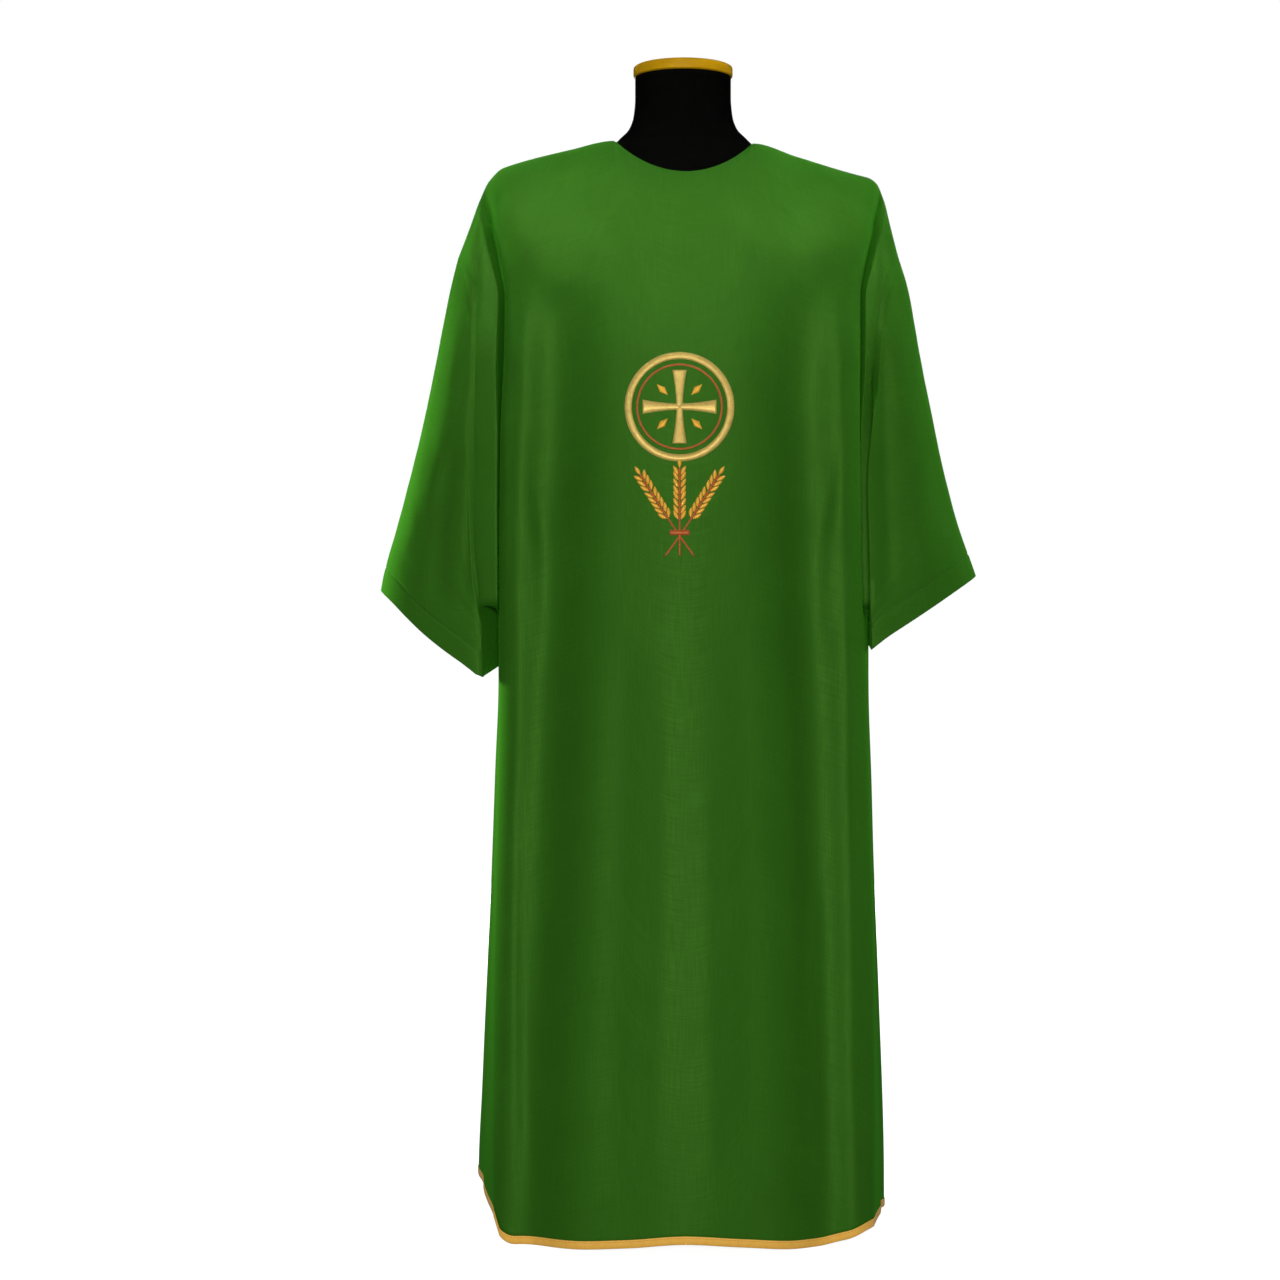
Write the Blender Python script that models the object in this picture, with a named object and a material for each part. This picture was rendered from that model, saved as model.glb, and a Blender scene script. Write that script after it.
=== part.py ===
"""A dalmatic worn by a limbless dress form on its stand.

Heights, widths and depths are millimetres until a mesh is made; the objects are in metres.
+Z is up and the front faces -Y. Sides are the wearer's: right is -X, left is +X.
"""

import math
from bisect import bisect_right
from collections import namedtuple

import bmesh
import bpy
from mathutils import Vector

MM = 0.001

# ---------------------------------------------------------------- driving dimensions
CLOTH = 1.6  # wall of every cloth piece
SEAM = 0.3  # gap between two pieces at a seam
SLEEVE_CLEAR = 0.6  # how far a sleeve starts from the armhole, where both walls turn
SLEEVE_LOWER = 0.45  # how far it hangs below the end of the side fold
BINDING_HIGH = 8.0  # hem binding, seen from the front
BINDING_PROUD = 0.6  # how far the binding stands out from the cloth, on each side
PANEL_CLEAR = 1.3  # gap between a panel's foot and its binding

JOIN = 1068.0  # height at which the round of the shoulders ends
UNDERARM = 716.0  # height at which sleeve and body part
UNDERARM_CLEAR = 3.0  # space between the sleeve and the body's side below it
POUCH_TILT = 8.0  # the side fold hangs this much lower at its outer edge
POUCH_DROP = 30.0  # stretch of the body's side that faces the end of the side fold

NECK_HALF = 80.0  # half width of the neckline
NECK_SHARE = 0.36  # where the neckline ends, as a share of the way to the shoulder end
NECK_HEIGHT = 1246.5  # height of the neckline's ends, taken together
NECK_FRONT_DROP = 47.0
NECK_BACK_DROP = 20.0
ROUND_FRONT = 0.9  # exponent of the shoulder's round; lower is squarer
ROUND_BACK = 0.65
BODY_ROUND = 0.75  # the same across a panel, from its centre to its turn, and along the neckline
SIDE_ROUND = 1.5  # the same round the body's side, from the turn to the side seam
SLEEVE_ROUND = 0.9  # the same across half a sleeve, from its top fold to its corner
SLEEVE_SLANT = 0.35  # how far the inner half of a sleeve slants back from its corner
FOLD_EDGE = 10  # exponent with which the folds die away at the panel's turn
CORNER_END = UNDERARM - 60.0  # where the sleeve's corner is read for its height at the cuff
SEAM_TURN = 1.7  # share past which the side fold's end turns down to meet the sleeve

SHOULDER_ROWS = 8  # rows over the shoulder's round, and columns in half a sleeve
UPPER_ROWS = 8
POUCH_ROWS = 3
LOWER_ROWS = 8
SLEEVE_END_ROWS = 3

# The ridge from the neck over the shoulder end (share 1) to the top of the armhole (share 2).
Ridge = namedtuple("Ridge", "share x height")
RIDGE = {
    "right": (
        Ridge(0.0, 0, 1243),
        Ridge(0.36, 80, 1248),
        Ridge(0.60, 130, 1238),
        Ridge(0.89, 194, 1222),
        Ridge(1.00, 217, 1210),
        Ridge(1.15, 227, 1199),
        Ridge(1.40, 235, 1181),
        Ridge(1.70, 247, 1147),
        Ridge(2.00, 260, 1113),
    ),
    "left": (
        Ridge(0.0, 0, 1243),
        Ridge(0.36, 80, 1245),
        Ridge(0.60, 130, 1230),
        Ridge(0.89, 194, 1211),
        Ridge(1.00, 217, 1205),
        Ridge(1.15, 226, 1197),
        Ridge(1.40, 232, 1181),
        Ridge(1.70, 240, 1147),
        Ridge(2.00, 249, 1113),
    ),
}

# The body: where each panel turns to the side, its depth at the centre, its depth at the turn.
Body = namedtuple("Body", "height right left front back front_edge back_edge")
BODY = (
    Body(1068, 201, 199, 130, 118, 80, 76),
    Body(994, 203, 199, 135, 124, 84, 80),
    Body(908, 208, 199, 137, 126, 88, 84),
    Body(794, 209, 200, 140, 128, 92, 88),
    Body(716, 209, 202, 144, 131, 94, 90),
    Body(626, 208, 206, 150, 138, 93, 92),
    Body(514, 210, 208, 157, 148, 97, 98),
    Body(379, 212, 211, 166, 160, 105, 108),
    Body(268, 213, 212, 174, 170, 112, 114),
    Body(157, 213, 212, 182, 180, 120, 122),
    Body(54, 212, 211, 188, 188, 127, 128),
    Body(-6, 211, 210, 190, 191, 130, 130),
)

# Half width at the side seams.
Side = namedtuple("Side", "height right left")
SIDE = (
    Side(716, 214, 215),
    Side(626, 213.5, 214.5),
    Side(514, 218, 218),
    Side(379, 223, 222),
    Side(268, 228, 226.5),
    Side(157, 233, 230.5),
    Side(54, 237, 233),
    Side(-6, 237, 233),
)

# The fold that hangs between body and sleeve: the gap beside the body, the fold's outer edge and
# depth, the depth left in the gap, the armhole seam, and the sleeve's corner beside the seam.
Tuck = namedtuple(
    "Tuck", "height gap outer depth valley seam_x seam_depth corner_x corner_depth"
)
TUCK = {
    ("right", "front"): (
        Tuck(1068, 9, 235, 74, 46, 233.5, 66, 241, 67),
        Tuck(994, 9, 237.5, 83, 36, 234.5, 70, 244, 71),
        Tuck(908, 3.5, 238.5, 88, 30, 235, 73, 246, 75),
        Tuck(840, 3, 238.5, 92, 24, 235, 76, 246, 79),
        Tuck(772, 3, 236.5, 95, 20, 233, 79, 243, 82),
        Tuck(708, 3, 231, 97, 16, 228, 84, 234, 86),
        Tuck(684, 3, 231, 97, 16, 228, 84, 228, 87),
        Tuck(628, 3, 231, 97, 16, 228, 84, 227, 86),
    ),
    ("left", "front"): (
        Tuck(1068, 6.5, 225, 73, 44, 223, 65, 231, 66),
        Tuck(1024, 6.5, 220, 75, 40, 218, 66, 227, 70),
        Tuck(972, 6, 214, 70, 36, 214, 60, 222, 74),
        Tuck(923, 5, 212.5, 60, 32, 216, 54, 213, 81),
        Tuck(840, 4.5, 215, 53, 26, 219, 51, 206, 86),
        Tuck(772, 4.5, 216, 51, 22, 220, 50, 207.5, 89),
        Tuck(708, 4.5, 216, 50, 18, 220, 50, 208.5, 90),
        Tuck(684, 4.5, 216, 50, 18, 220, 50, 209.5, 90),
        Tuck(628, 4.5, 216, 50, 18, 220, 50, 211, 89),
    ),
    ("right", "back"): (
        Tuck(1068, 9, 236, 72, 42, 233.5, 64, 242, 65),
        Tuck(994, 10, 238, 80, 34, 235, 68, 245, 69),
        Tuck(908, 7, 239, 86, 28, 235.5, 72, 247, 74),
        Tuck(840, 5, 239, 90, 24, 235.5, 75, 247, 78),
        Tuck(772, 4, 237, 94, 20, 233.5, 78, 244, 82),
        Tuck(708, 4, 232, 96, 16, 229, 84, 236, 87),
        Tuck(684, 4, 232, 96, 16, 229, 84, 229, 89),
        Tuck(628, 4, 232, 96, 16, 229, 84, 227, 89),
    ),
    ("left", "back"): (
        Tuck(1068, 8, 228, 71, 42, 226, 63, 234, 64),
        Tuck(994, 9, 229, 79, 34, 226.5, 67, 236, 68),
        Tuck(908, 7, 230, 85, 28, 227, 71, 238, 74),
        Tuck(840, 5, 231, 90, 24, 228, 75, 239, 79),
        Tuck(772, 4, 231, 94, 20, 228, 78, 238, 83),
        Tuck(708, 4, 229, 96, 16, 226, 83, 233, 88),
        Tuck(684, 4, 229, 96, 16, 226, 83, 227, 90),
        Tuck(628, 4, 229, 96, 16, 226, 83, 226, 90),
    ),
}

# The sleeve's folded top line, seen from the front.
Top = namedtuple("Top", "height x")
SLEEVE_TOP = {
    "right": (
        Top(1113, 260),
        Top(1068, 271),
        Top(1007, 283),
        Top(938, 297),
        Top(868, 313.5),
        Top(799, 332),
        Top(746, 347),
        Top(729, 350),
        Top(614, 376),
    ),
    "left": (
        Top(1113, 249),
        Top(1068, 262),
        Top(1007, 272.5),
        Top(938, 286.5),
        Top(868, 301.5),
        Top(799, 320),
        Top(746, 339),
        Top(614, 380),
    ),
}

# The slanting open end of each sleeve: the height of its edge by distance from the middle.
Cuff = namedtuple("Cuff", "x front back")
CUFF = {
    "right": (
        Cuff(215, 642, 646),
        Cuff(227, 628, 639),
        Cuff(248, 642, 650),
        Cuff(292, 677, 682),
        Cuff(328, 711, 713),
        Cuff(350, 729, 729),
    ),
    "left": (
        Cuff(209, 660, 666),
        Cuff(229, 676, 680),
        Cuff(255, 694, 696),
        Cuff(306, 727, 728),
        Cuff(339, 746, 746),
    ),
}
CUFF_AT_UNDERARM = {"right": 642.0, "left": 668.0}

# Height of the bottom edge, by share of the way round: 1 is the panel's turn, 2 the side seam.
Hem = namedtuple("Hem", "share front back")
HEM = (
    Hem(-2.0, 50, 50),
    Hem(-1.75, 46, 47),
    Hem(-1.5, 40, 42),
    Hem(-1.25, 32, 35),
    Hem(-1.0, 20, 25),
    Hem(-0.97, 9, 19),
    Hem(-0.9, 1.5, 10),
    Hem(-0.6, 4, 5),
    Hem(-0.3, 9, 4),
    Hem(0.0, 15, 6),
    Hem(0.3, 10, 4),
    Hem(0.7, 1.5, 5),
    Hem(0.85, 4, 9),
    Hem(1.0, 15, 15),
    Hem(1.25, 20, 19),
    Hem(1.5, 23, 22),
    Hem(2.0, 26, 26),
)

# Soft folds that hang down the body, forward if the depth is positive, from the height where
# each starts to the height where it is full, and on to the hem.
Fold = namedtuple("Fold", "top_x foot_x width start full depth")
FOLDS = {
    "front": (
        Fold(-8, 2, 55, 1060, 560, 8),
        Fold(-136, -177, 36, 1124, 985, -19),
        Fold(-188, -206, 20, 1100, 950, 8),
        Fold(127, 158, 36, 1124, 950, -19),
        Fold(184, 196, 21, 1124, 950, 9),
    ),
    "back": (
        Fold(-8, -14, 34, 1044, 520, -15),
        Fold(-74, -92, 36, 1014, 500, 12),
        Fold(-140, -156, 28, 974, 480, -12),
        Fold(60, 70, 34, 1014, 500, 12),
        Fold(128, 140, 30, 974, 480, -13),
        Fold(176, 188, 24, 894, 440, 7),
    ),
}

# The dress form: half width, depth to the front and depth to the back at each height.
Ring = namedtuple("Ring", "height half front back power")
FORM = (
    Ring(1322.7, 55.5, 54, 56, 2.0),
    Ring(1299, 55.5, 54, 56, 2.0),
    Ring(1277, 57.5, 55, 57, 2.0),
    Ring(1262, 62, 56, 57, 2.0),
    Ring(1251, 70.5, 57, 57, 2.1),
    Ring(1241, 74, 57, 57, 2.0),
    Ring(1233, 92, 59, 58, 2.1),
    Ring(1223, 129, 63, 61, 2.2),
    Ring(1213, 167, 69, 65, 2.2),
    Ring(1201, 196, 74, 70, 2.2),
    Ring(1184, 207, 82, 77, 2.2),
    Ring(1149, 206, 95, 90, 2.2),
    Ring(1104, 197, 109, 101, 2.2),
    Ring(1054, 188, 117, 106, 2.2),
    Ring(994, 181, 118, 106, 2.2),
    Ring(924, 171, 110, 100, 2.2),
    Ring(854, 161, 101, 94, 2.2),
    Ring(794, 158, 98, 93, 2.2),
    Ring(734, 164, 103, 99, 2.2),
    Ring(674, 172, 110, 107, 2.2),
    Ring(614, 175, 112, 112, 2.2),
    Ring(569, 172, 110, 110, 2.2),
    Ring(556, 166, 104, 104, 2.2),
    Ring(550, 154, 93, 93, 2.2),
)
FORM_SIDES = 28

# Turned pieces, as (radius, height) down the outer side.
CAP_PROFILE = (
    (0, 1338),
    (20, 1337.8),
    (38, 1337.1),
    (50, 1336.2),
    (55, 1335.3),
    (57, 1334.1),
    (57.5, 1332.6),
    (57.5, 1325),
    (57, 1323.6),
    (56, 1323),
    (0, 1323),
)
POLE_RADIUS = 16.0
BASE_RADIUS = 118.0
BASE_HIGH = 12.0
BASE_PROFILE = (
    (0, BASE_HIGH),
    (80, BASE_HIGH),
    (BASE_RADIUS - 8, BASE_HIGH - 2),
    (BASE_RADIUS - 2, BASE_HIGH - 4),
    (BASE_RADIUS, BASE_HIGH - 7),
    (BASE_RADIUS, 0),
    (0, 0),
)
POLE_PROFILE = (
    (0, FORM[-1].height - SEAM),
    (POLE_RADIUS, FORM[-1].height - SEAM),
    (POLE_RADIUS, BASE_HIGH + SEAM),
    (0, BASE_HIGH + SEAM),
)
TURNED_STEPS = 32

SIGN = {"right": -1.0, "left": 1.0, "front": -1.0, "back": 1.0}
FOLD_END_NORMAL = {side: Vector((0.29 * SIGN[side], 0, -0.957)) for side in ("right", "left")}


# ---------------------------------------------------------------- curves through the tables
def smooth(knots):
    """A function through (at, value) knots that never overshoots them."""
    knots = sorted(knots)
    at = [knot[0] for knot in knots]
    value = [knot[1] for knot in knots]
    steps = [b - a for a, b in zip(at, at[1:])]
    slopes = [(b - a) / step for a, b, step in zip(value, value[1:], steps)]
    lean = [slopes[0]]
    for before, after in zip(slopes, slopes[1:]):
        lean.append(2 * before * after / (before + after) if before * after > 0 else 0.0)
    lean.append(slopes[-1])

    def at_place(x):
        x = min(max(x, at[0]), at[-1])
        i = min(bisect_right(at, x) - 1, len(steps) - 1)
        step = steps[i]
        t = (x - at[i]) / step
        rise = value[i + 1] - value[i]
        start = lean[i] * step
        end = lean[i + 1] * step
        return (
            value[i]
            + start * t
            + (3 * rise - 2 * start - end) * t * t
            + (start + end - 2 * rise) * t**3
        )

    return at_place


def column(rows, name):
    """One column of a table as a smooth function of the table's first column."""
    return smooth([(row[0], getattr(row, name)) for row in rows])


def columns(rows):
    """Every column but the first, by name."""
    return {name: column(rows, name) for name in rows[0]._fields[1:]}


def mix(a, b, share):
    return a + (b - a) * share


body_at = columns(BODY)
side_at = columns(SIDE)
hem_at = columns(HEM)
ridge_at = {side: columns(rows) for side, rows in RIDGE.items()}
tuck_at = {place: columns(rows) for place, rows in TUCK.items()}
top_at = {side: columns(rows) for side, rows in SLEEVE_TOP.items()}
cuff_at = {side: columns(rows) for side, rows in CUFF.items()}


# ---------------------------------------------------------------- the garment's form
def fold_depth(face, x, height):
    """How far the soft folds push a panel out at a place."""
    pushed = 0.0
    for fold in FOLDS[face]:
        down = min(max(1 - height / fold.start, 0.0), 1.0)
        middle = mix(fold.top_x, fold.foot_x, down)
        grown = min(max((fold.start - height) / (fold.start - fold.full), 0.0), 1.0)
        grown = grown * grown * (3 - 2 * grown)
        pushed += fold.depth * grown * math.exp(-(((x - middle) / fold.width) ** 2))
    return pushed


def body_plan(side, face, share, height):
    """(distance from the middle, depth) across a panel's main width, share 0 to 1."""
    edge_x = body_at[side](height)
    edge_depth = body_at[face + "_edge"](height)
    centre_depth = body_at[face](height)
    x = edge_x * share
    depth = mix(edge_depth, centre_depth, (1 - share * share) ** BODY_ROUND)
    fading = 1 - share**FOLD_EDGE
    return x, depth + fading * fold_depth(face, SIGN[side] * x, height)


def wall_plan(side, face, share, height):
    """The same round the body's side, from the turn (share 1) to the side seam (share 2)."""
    left = 2 - share
    x = mix(side_at[side](height), body_at[side](height), left**SIDE_ROUND)
    return x, body_at[face + "_edge"](height) * left


def pouch_plan(side, face, share, height):
    """The same across the side fold, from the turn (share 1) to the armhole seam (share 2)."""
    tuck = tuck_at[side, face]
    edge = body_at[side](height)
    gap = tuck["gap"](height)
    stations = (
        body_plan(side, face, 0.9, height),
        (edge, body_at[face + "_edge"](height)),
        (edge + gap / 2, tuck["valley"](height)),
        (edge + gap, tuck["depth"](height)),
        (tuck["outer"](height), tuck["depth"](height)),
        (tuck["seam_x"](height), tuck["seam_depth"](height)),
    )
    place = (share - 1) * 4
    return tuple(
        smooth([(i - 1, station[axis]) for i, station in enumerate(stations)])(place)
        for axis in (0, 1)
    )


def point(side, face, plan, height):
    x, depth = plan
    return Vector((SIGN[side] * x, SIGN[face] * (depth + SEAM / 2), height))


def neckline_angle(side, face, share, ridge_x, ridge_height):
    """How far round the shoulder the neckline cuts a column off; 0 beyond the neckline."""
    if share >= NECK_SHARE:
        return 0.0
    drop = NECK_FRONT_DROP if face == "front" else NECK_BACK_DROP
    end = mix(NECK_HEIGHT, ridge_at[side]["height"](NECK_SHARE), ridge_x / NECK_HALF)
    height = end - drop * (1 - (ridge_x / NECK_HALF) ** 2) ** BODY_ROUND
    down = max(ridge_height - height, 0.0) / (ridge_height - JOIN)
    return math.acos(1 - down)


def shoulder_point(side, face, share, row):
    """A point on the round from the ridge down to JOIN."""
    ridge_x = ridge_at[side]["x"](share)
    ridge_height = ridge_at[side]["height"](share)
    plan = body_plan if share <= 1 else pouch_plan
    foot_x, foot_depth = plan(side, face, share, JOIN)
    start = neckline_angle(side, face, share, ridge_x, ridge_height)
    angle = mix(start, math.pi / 2, row / SHOULDER_ROWS)
    down = 1 - math.cos(angle)
    power = ROUND_FRONT if face == "front" else ROUND_BACK
    return point(
        side,
        face,
        (mix(ridge_x, foot_x, down), foot_depth * math.sin(angle) ** power),
        mix(ridge_height, JOIN, down),
    )


def pouch_height(share):
    """The height at which the side fold ends."""
    return UNDERARM - POUCH_TILT * max(share - 1, 0.0)


def pouch_row_height(share, row):
    """Heights of the rows that carry the end of the side fold back to the underarm."""
    return mix(
        pouch_height(share),
        mix(UNDERARM - POUCH_DROP, UNDERARM, max(share - 1, 0.0)),
        row / POUCH_ROWS,
    )


def panel_point(side, face, share, row, foot):
    """A point of a front or back panel; foot is how far above the hem line it ends."""
    if row <= SHOULDER_ROWS:
        return shoulder_point(side, face, share, row)
    row -= SHOULDER_ROWS
    plan = body_plan if share <= 1 else pouch_plan
    if row <= UPPER_ROWS:
        height = mix(JOIN, pouch_height(share), row / UPPER_ROWS)
        return point(side, face, plan(side, face, share, height), height)
    row -= UPPER_ROWS
    below = body_plan if share <= 1 else wall_plan
    if row <= POUCH_ROWS:
        height = pouch_row_height(share, row)
        fold = plan(side, face, share, pouch_height(share) if share > 1 else height)
        wall = below(side, face, share, height)
        turned = [mix(a, b, row / POUCH_ROWS) for a, b in zip(fold, wall)]
        return point(side, face, turned, height)
    row -= POUCH_ROWS
    top = pouch_row_height(share, POUCH_ROWS)
    bottom = hem_at[face](SIGN[side] * share) + foot
    height = mix(top, bottom, row / LOWER_ROWS)
    return point(side, face, below(side, face, share, height), height)


def armhole_point(side, face, row):
    """The armhole seam, row by row, from the ridge to the underarm."""
    return panel_point(side, face, 2.0, row, 0.0)


# ---------------------------------------------------------------- the sleeves' form
ARMHOLE_ROWS = UPPER_ROWS + POUCH_ROWS
SLEEVE_ROWS = ARMHOLE_ROWS + SLEEVE_END_ROWS
HALF_SLEEVE = SHOULDER_ROWS
FRONT_COLUMNS = HALF_SLEEVE // 2  # from the top fold to the corner; the others run on to the seam


def corner_end(side, face):
    """Height at which the sleeve's corner meets the cuff."""
    return cuff_at[side][face](tuck_at[side, face]["corner_x"](CORNER_END))


def corner_height(side, face, row):
    """Height of the sleeve's corner in each row."""
    if row <= UPPER_ROWS:
        return mix(JOIN, pouch_height(2.0), row / UPPER_ROWS)
    down = (row - UPPER_ROWS) / (SLEEVE_ROWS - UPPER_ROWS)
    return mix(pouch_height(2.0), corner_end(side, face), down)


def sleeve_seam_point(side, face, row):
    """The inner edge of half a sleeve: the armhole seam, then the underarm seam."""
    if row <= ARMHOLE_ROWS:
        seam = armhole_point(side, face, row + SHOULDER_ROWS)
        lower = SLEEVE_LOWER if row >= UPPER_ROWS else 0.0
        return seam + Vector((SIGN[side] * SLEEVE_CLEAR, 0, -lower))
    down = (row - ARMHOLE_ROWS) / SLEEVE_END_ROWS
    height = mix(UNDERARM, CUFF_AT_UNDERARM[side], down)
    x = side_at[side](height) + UNDERARM_CLEAR * math.sin(down * math.pi / 2)
    return Vector((SIGN[side] * (x + SEAM), SIGN[face] * SEAM / 2, height - SEAM))


def sleeve_point(side, face, place, row):
    """A point of half a sleeve; place runs from 0 at the top fold to HALF_SLEEVE at the seam."""
    tuck = tuck_at[side, face]
    if row == 0:
        seam = armhole_point(side, face, place)
        if place == HALF_SLEEVE:
            return sleeve_seam_point(side, face, 0)
        below = sleeve_point(side, face, place, 1)
        return seam + (below - seam).normalized() * SLEEVE_CLEAR
    if place >= FRONT_COLUMNS:
        height = corner_height(side, face, row)
        corner = Vector(
            (
                SIGN[side] * tuck["corner_x"](height),
                SIGN[face] * tuck["corner_depth"](height),
                height,
            )
        )
        along = (place - FRONT_COLUMNS) / (HALF_SLEEVE - FRONT_COLUMNS)
        return corner.lerp(sleeve_seam_point(side, face, row), along)
    turn = place / FRONT_COLUMNS * math.pi / 2
    inner_end = corner_end(side, face)
    outer_end = getattr(CUFF[side][-1], face)
    edge_x = mix(tuck["corner_x"](inner_end), top_at[side]["x"](outer_end), math.cos(turn))
    start = armhole_point(side, face, place).z
    end = cuff_at[side][face](edge_x)
    even = row / SLEEVE_ROWS
    like_corner = (JOIN - corner_height(side, face, row)) / (JOIN - inner_end)
    height = mix(start, end, mix(even, like_corner, (place / FRONT_COLUMNS) ** 1.5))
    corner_x = tuck["corner_x"](height)
    out = math.cos(turn)
    x = mix(corner_x, top_at[side]["x"](height), out)
    rounded = math.sin(turn) ** SLEEVE_ROUND - SLEEVE_SLANT * out * (1 - out)
    depth = tuck["corner_depth"](height) * rounded
    return Vector((SIGN[side] * x, SIGN[face] * depth, height))


# ---------------------------------------------------------------- meshes
def material(name, colour, roughness, metallic=0.0):
    made = bpy.data.materials.new(name)
    made.use_nodes = True
    shader = made.node_tree.nodes["Principled BSDF"]
    shader.inputs["Base Color"].default_value = (*colour, 1.0)
    shader.inputs["Roughness"].default_value = roughness
    shader.inputs["Metallic"].default_value = metallic
    return made


def add_object(name, bm, made_of):
    for vert in bm.verts:
        vert.co *= MM
    mesh = bpy.data.meshes.new(name)
    bm.to_mesh(mesh)
    bm.free()
    mesh.materials.append(made_of)
    mesh.shade_smooth()
    mesh.set_sharp_from_angle(angle=math.radians(50))
    piece = bpy.data.objects.new(name, mesh)
    bpy.context.scene.collection.objects.link(piece)
    return piece


def sheet(grid, outward):
    """A bmesh grid laid through rows of points, facing roughly outward at its middle."""
    rows = len(grid)
    across = len(grid[0])
    bm = bmesh.new()
    bmesh.ops.create_grid(bm, x_segments=across - 1, y_segments=rows - 1, size=1)
    bm.verts.ensure_lookup_table()
    for i, vert in enumerate(bm.verts):
        vert.co = grid[i // across][i % across]
    bm.normal_update()
    bm.verts.ensure_lookup_table()
    middle = bm.verts[rows // 2 * across + across // 2]
    if middle.normal.dot(outward) < 0:
        bmesh.ops.reverse_faces(bm, faces=bm.faces[:])
        bm.normal_update()
        bm.verts.ensure_lookup_table()
    return bm


def thicken(bm, thickness, normals):
    """Gives a sheet its wall, inwards along the given normals."""
    outer = list(bm.verts)
    inner = {}
    made = bmesh.ops.extrude_face_region(bm, geom=bm.faces[:], use_keep_orig=True)
    new = [item for item in made["geom"] if isinstance(item, bmesh.types.BMVert)]
    by_place = {tuple(round(c, 4) for c in vert.co): vert for vert in new}
    for vert, normal in zip(outer, normals):
        inner[vert] = by_place[tuple(round(c, 4) for c in vert.co)]
        inner[vert].co = vert.co - normal * thickness
    bmesh.ops.recalc_face_normals(bm, faces=bm.faces[:])


def flat_in(normal, axis):
    """The normal turned into the plane of a seam that has this axis."""
    normal = normal.copy()
    normal[axis] = 0.0
    return normal.normalized()


def panel_shares():
    """Columns of half a panel, from the middle to the armhole."""
    main = [0.0, 0.11, 0.21, 0.28, 0.325, NECK_SHARE, 0.48, 0.58, 0.67, 0.76, 0.85, 0.91, 0.96]
    return main + [1 + i / 8 for i in range(9)]


def whole_panel():
    """(side, share) of every column from the wearer's right to the left."""
    half = panel_shares()
    return [("right", share) for share in reversed(half)] + [
        ("left", share) for share in half[1:]
    ]


def panel(face, made_of):
    """A front or back panel. Returns its object and its normals by (row, column)."""
    places = whole_panel()
    rows = SHOULDER_ROWS + UPPER_ROWS + POUCH_ROWS + LOWER_ROWS
    foot = BINDING_HIGH + PANEL_CLEAR
    grid = [
        [panel_point(side, face, share, row, foot) for side, share in places]
        for row in range(rows + 1)
    ]
    bm = sheet(grid, Vector((0, SIGN[face], 0)))
    across = len(places)
    normals = [vert.normal.copy() for vert in bm.verts]
    last_armhole_row = SHOULDER_ROWS + ARMHOLE_ROWS
    for i, (side, share) in enumerate(places):
        if share >= NECK_SHARE:
            normals[i] = flat_in(normals[i], 1)
        if share == 2:
            for row in range(last_armhole_row, rows + 1):
                normals[row * across + i] = flat_in(normals[row * across + i], 1)
        if share > SEAM_TURN:
            for row in range(last_armhole_row - POUCH_ROWS, last_armhole_row):
                normals[row * across + i] = FOLD_END_NORMAL[side]
    edges = {
        side: [normals[row * across + i] for row in range(SHOULDER_ROWS + 1)]
        for i, side in ((0, "right"), (across - 1, "left"))
    }
    thicken(bm, CLOTH, normals)
    return add_object(face, bm, made_of), edges


def sleeve(side, edges, made_of):
    """A sleeve from its front underarm seam over the top fold to the back one."""
    halves = [("front", HALF_SLEEVE - i) for i in range(HALF_SLEEVE)]
    halves += [("back", i) for i in range(HALF_SLEEVE + 1)]
    grid = [
        [sleeve_point(side, face, place, row) for face, place in halves]
        for row in range(SLEEVE_ROWS + 1)
    ]
    bm = sheet(grid, Vector((SIGN[side], 0, 0)))
    across = len(halves)
    normals = [vert.normal.copy() for vert in bm.verts]
    for i, (face, place) in enumerate(halves):
        if place < HALF_SLEEVE - 1:
            normals[i] = edges[face][side][place]
        if place == HALF_SLEEVE:
            for row in range(UPPER_ROWS, ARMHOLE_ROWS):
                normals[row * across + i] = Vector((-SIGN[side], 0, 0))
            for row in range(ARMHOLE_ROWS, SLEEVE_ROWS + 1):
                normals[row * across + i] = flat_in(normals[row * across + i], 1)
    thicken(bm, CLOTH, normals)
    return add_object("sleeve_" + side, bm, made_of)


def binding(face, made_of):
    """The narrow band folded over the bottom edge of a panel."""
    places = whole_panel()
    grid = []
    for high in (BINDING_HIGH, BINDING_HIGH / 2, 0.0):
        row = []
        for side, share in places:
            height = hem_at[face](SIGN[side] * share) + high
            plan = body_plan if share <= 1 else wall_plan
            row.append(point(side, face, plan(side, face, share, height), height))
        grid.append(row)
    bm = sheet(grid, Vector((0, SIGN[face], 0)))
    across = len(places)
    normals = [flat_in(vert.normal, 2) for vert in bm.verts]
    for row in range(len(grid)):
        for i in (0, across - 1):
            normals[row * across + i] = flat_in(normals[row * across + i], 1)
    for vert, normal in zip(bm.verts, normals):
        vert.co += normal * BINDING_PROUD
    thicken(bm, CLOTH + 2 * BINDING_PROUD, normals)
    return add_object("hem_binding_" + face, bm, made_of)


def turned(name, profile, made_of):
    """A solid of revolution about the Z axis."""
    bm = bmesh.new()
    verts = [bm.verts.new((radius, 0, height)) for radius, height in profile]
    edges = [bm.edges.new(pair) for pair in zip(verts, verts[1:])]
    bmesh.ops.spin(
        bm,
        geom=verts + edges,
        cent=(0, 0, 0),
        axis=(0, 0, 1),
        angle=math.tau,
        steps=TURNED_STEPS,
        use_merge=True,
    )
    bmesh.ops.remove_doubles(bm, verts=bm.verts[:], dist=0.01)
    bmesh.ops.recalc_face_normals(bm, faces=bm.faces[:])
    return add_object(name, bm, made_of)


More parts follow.
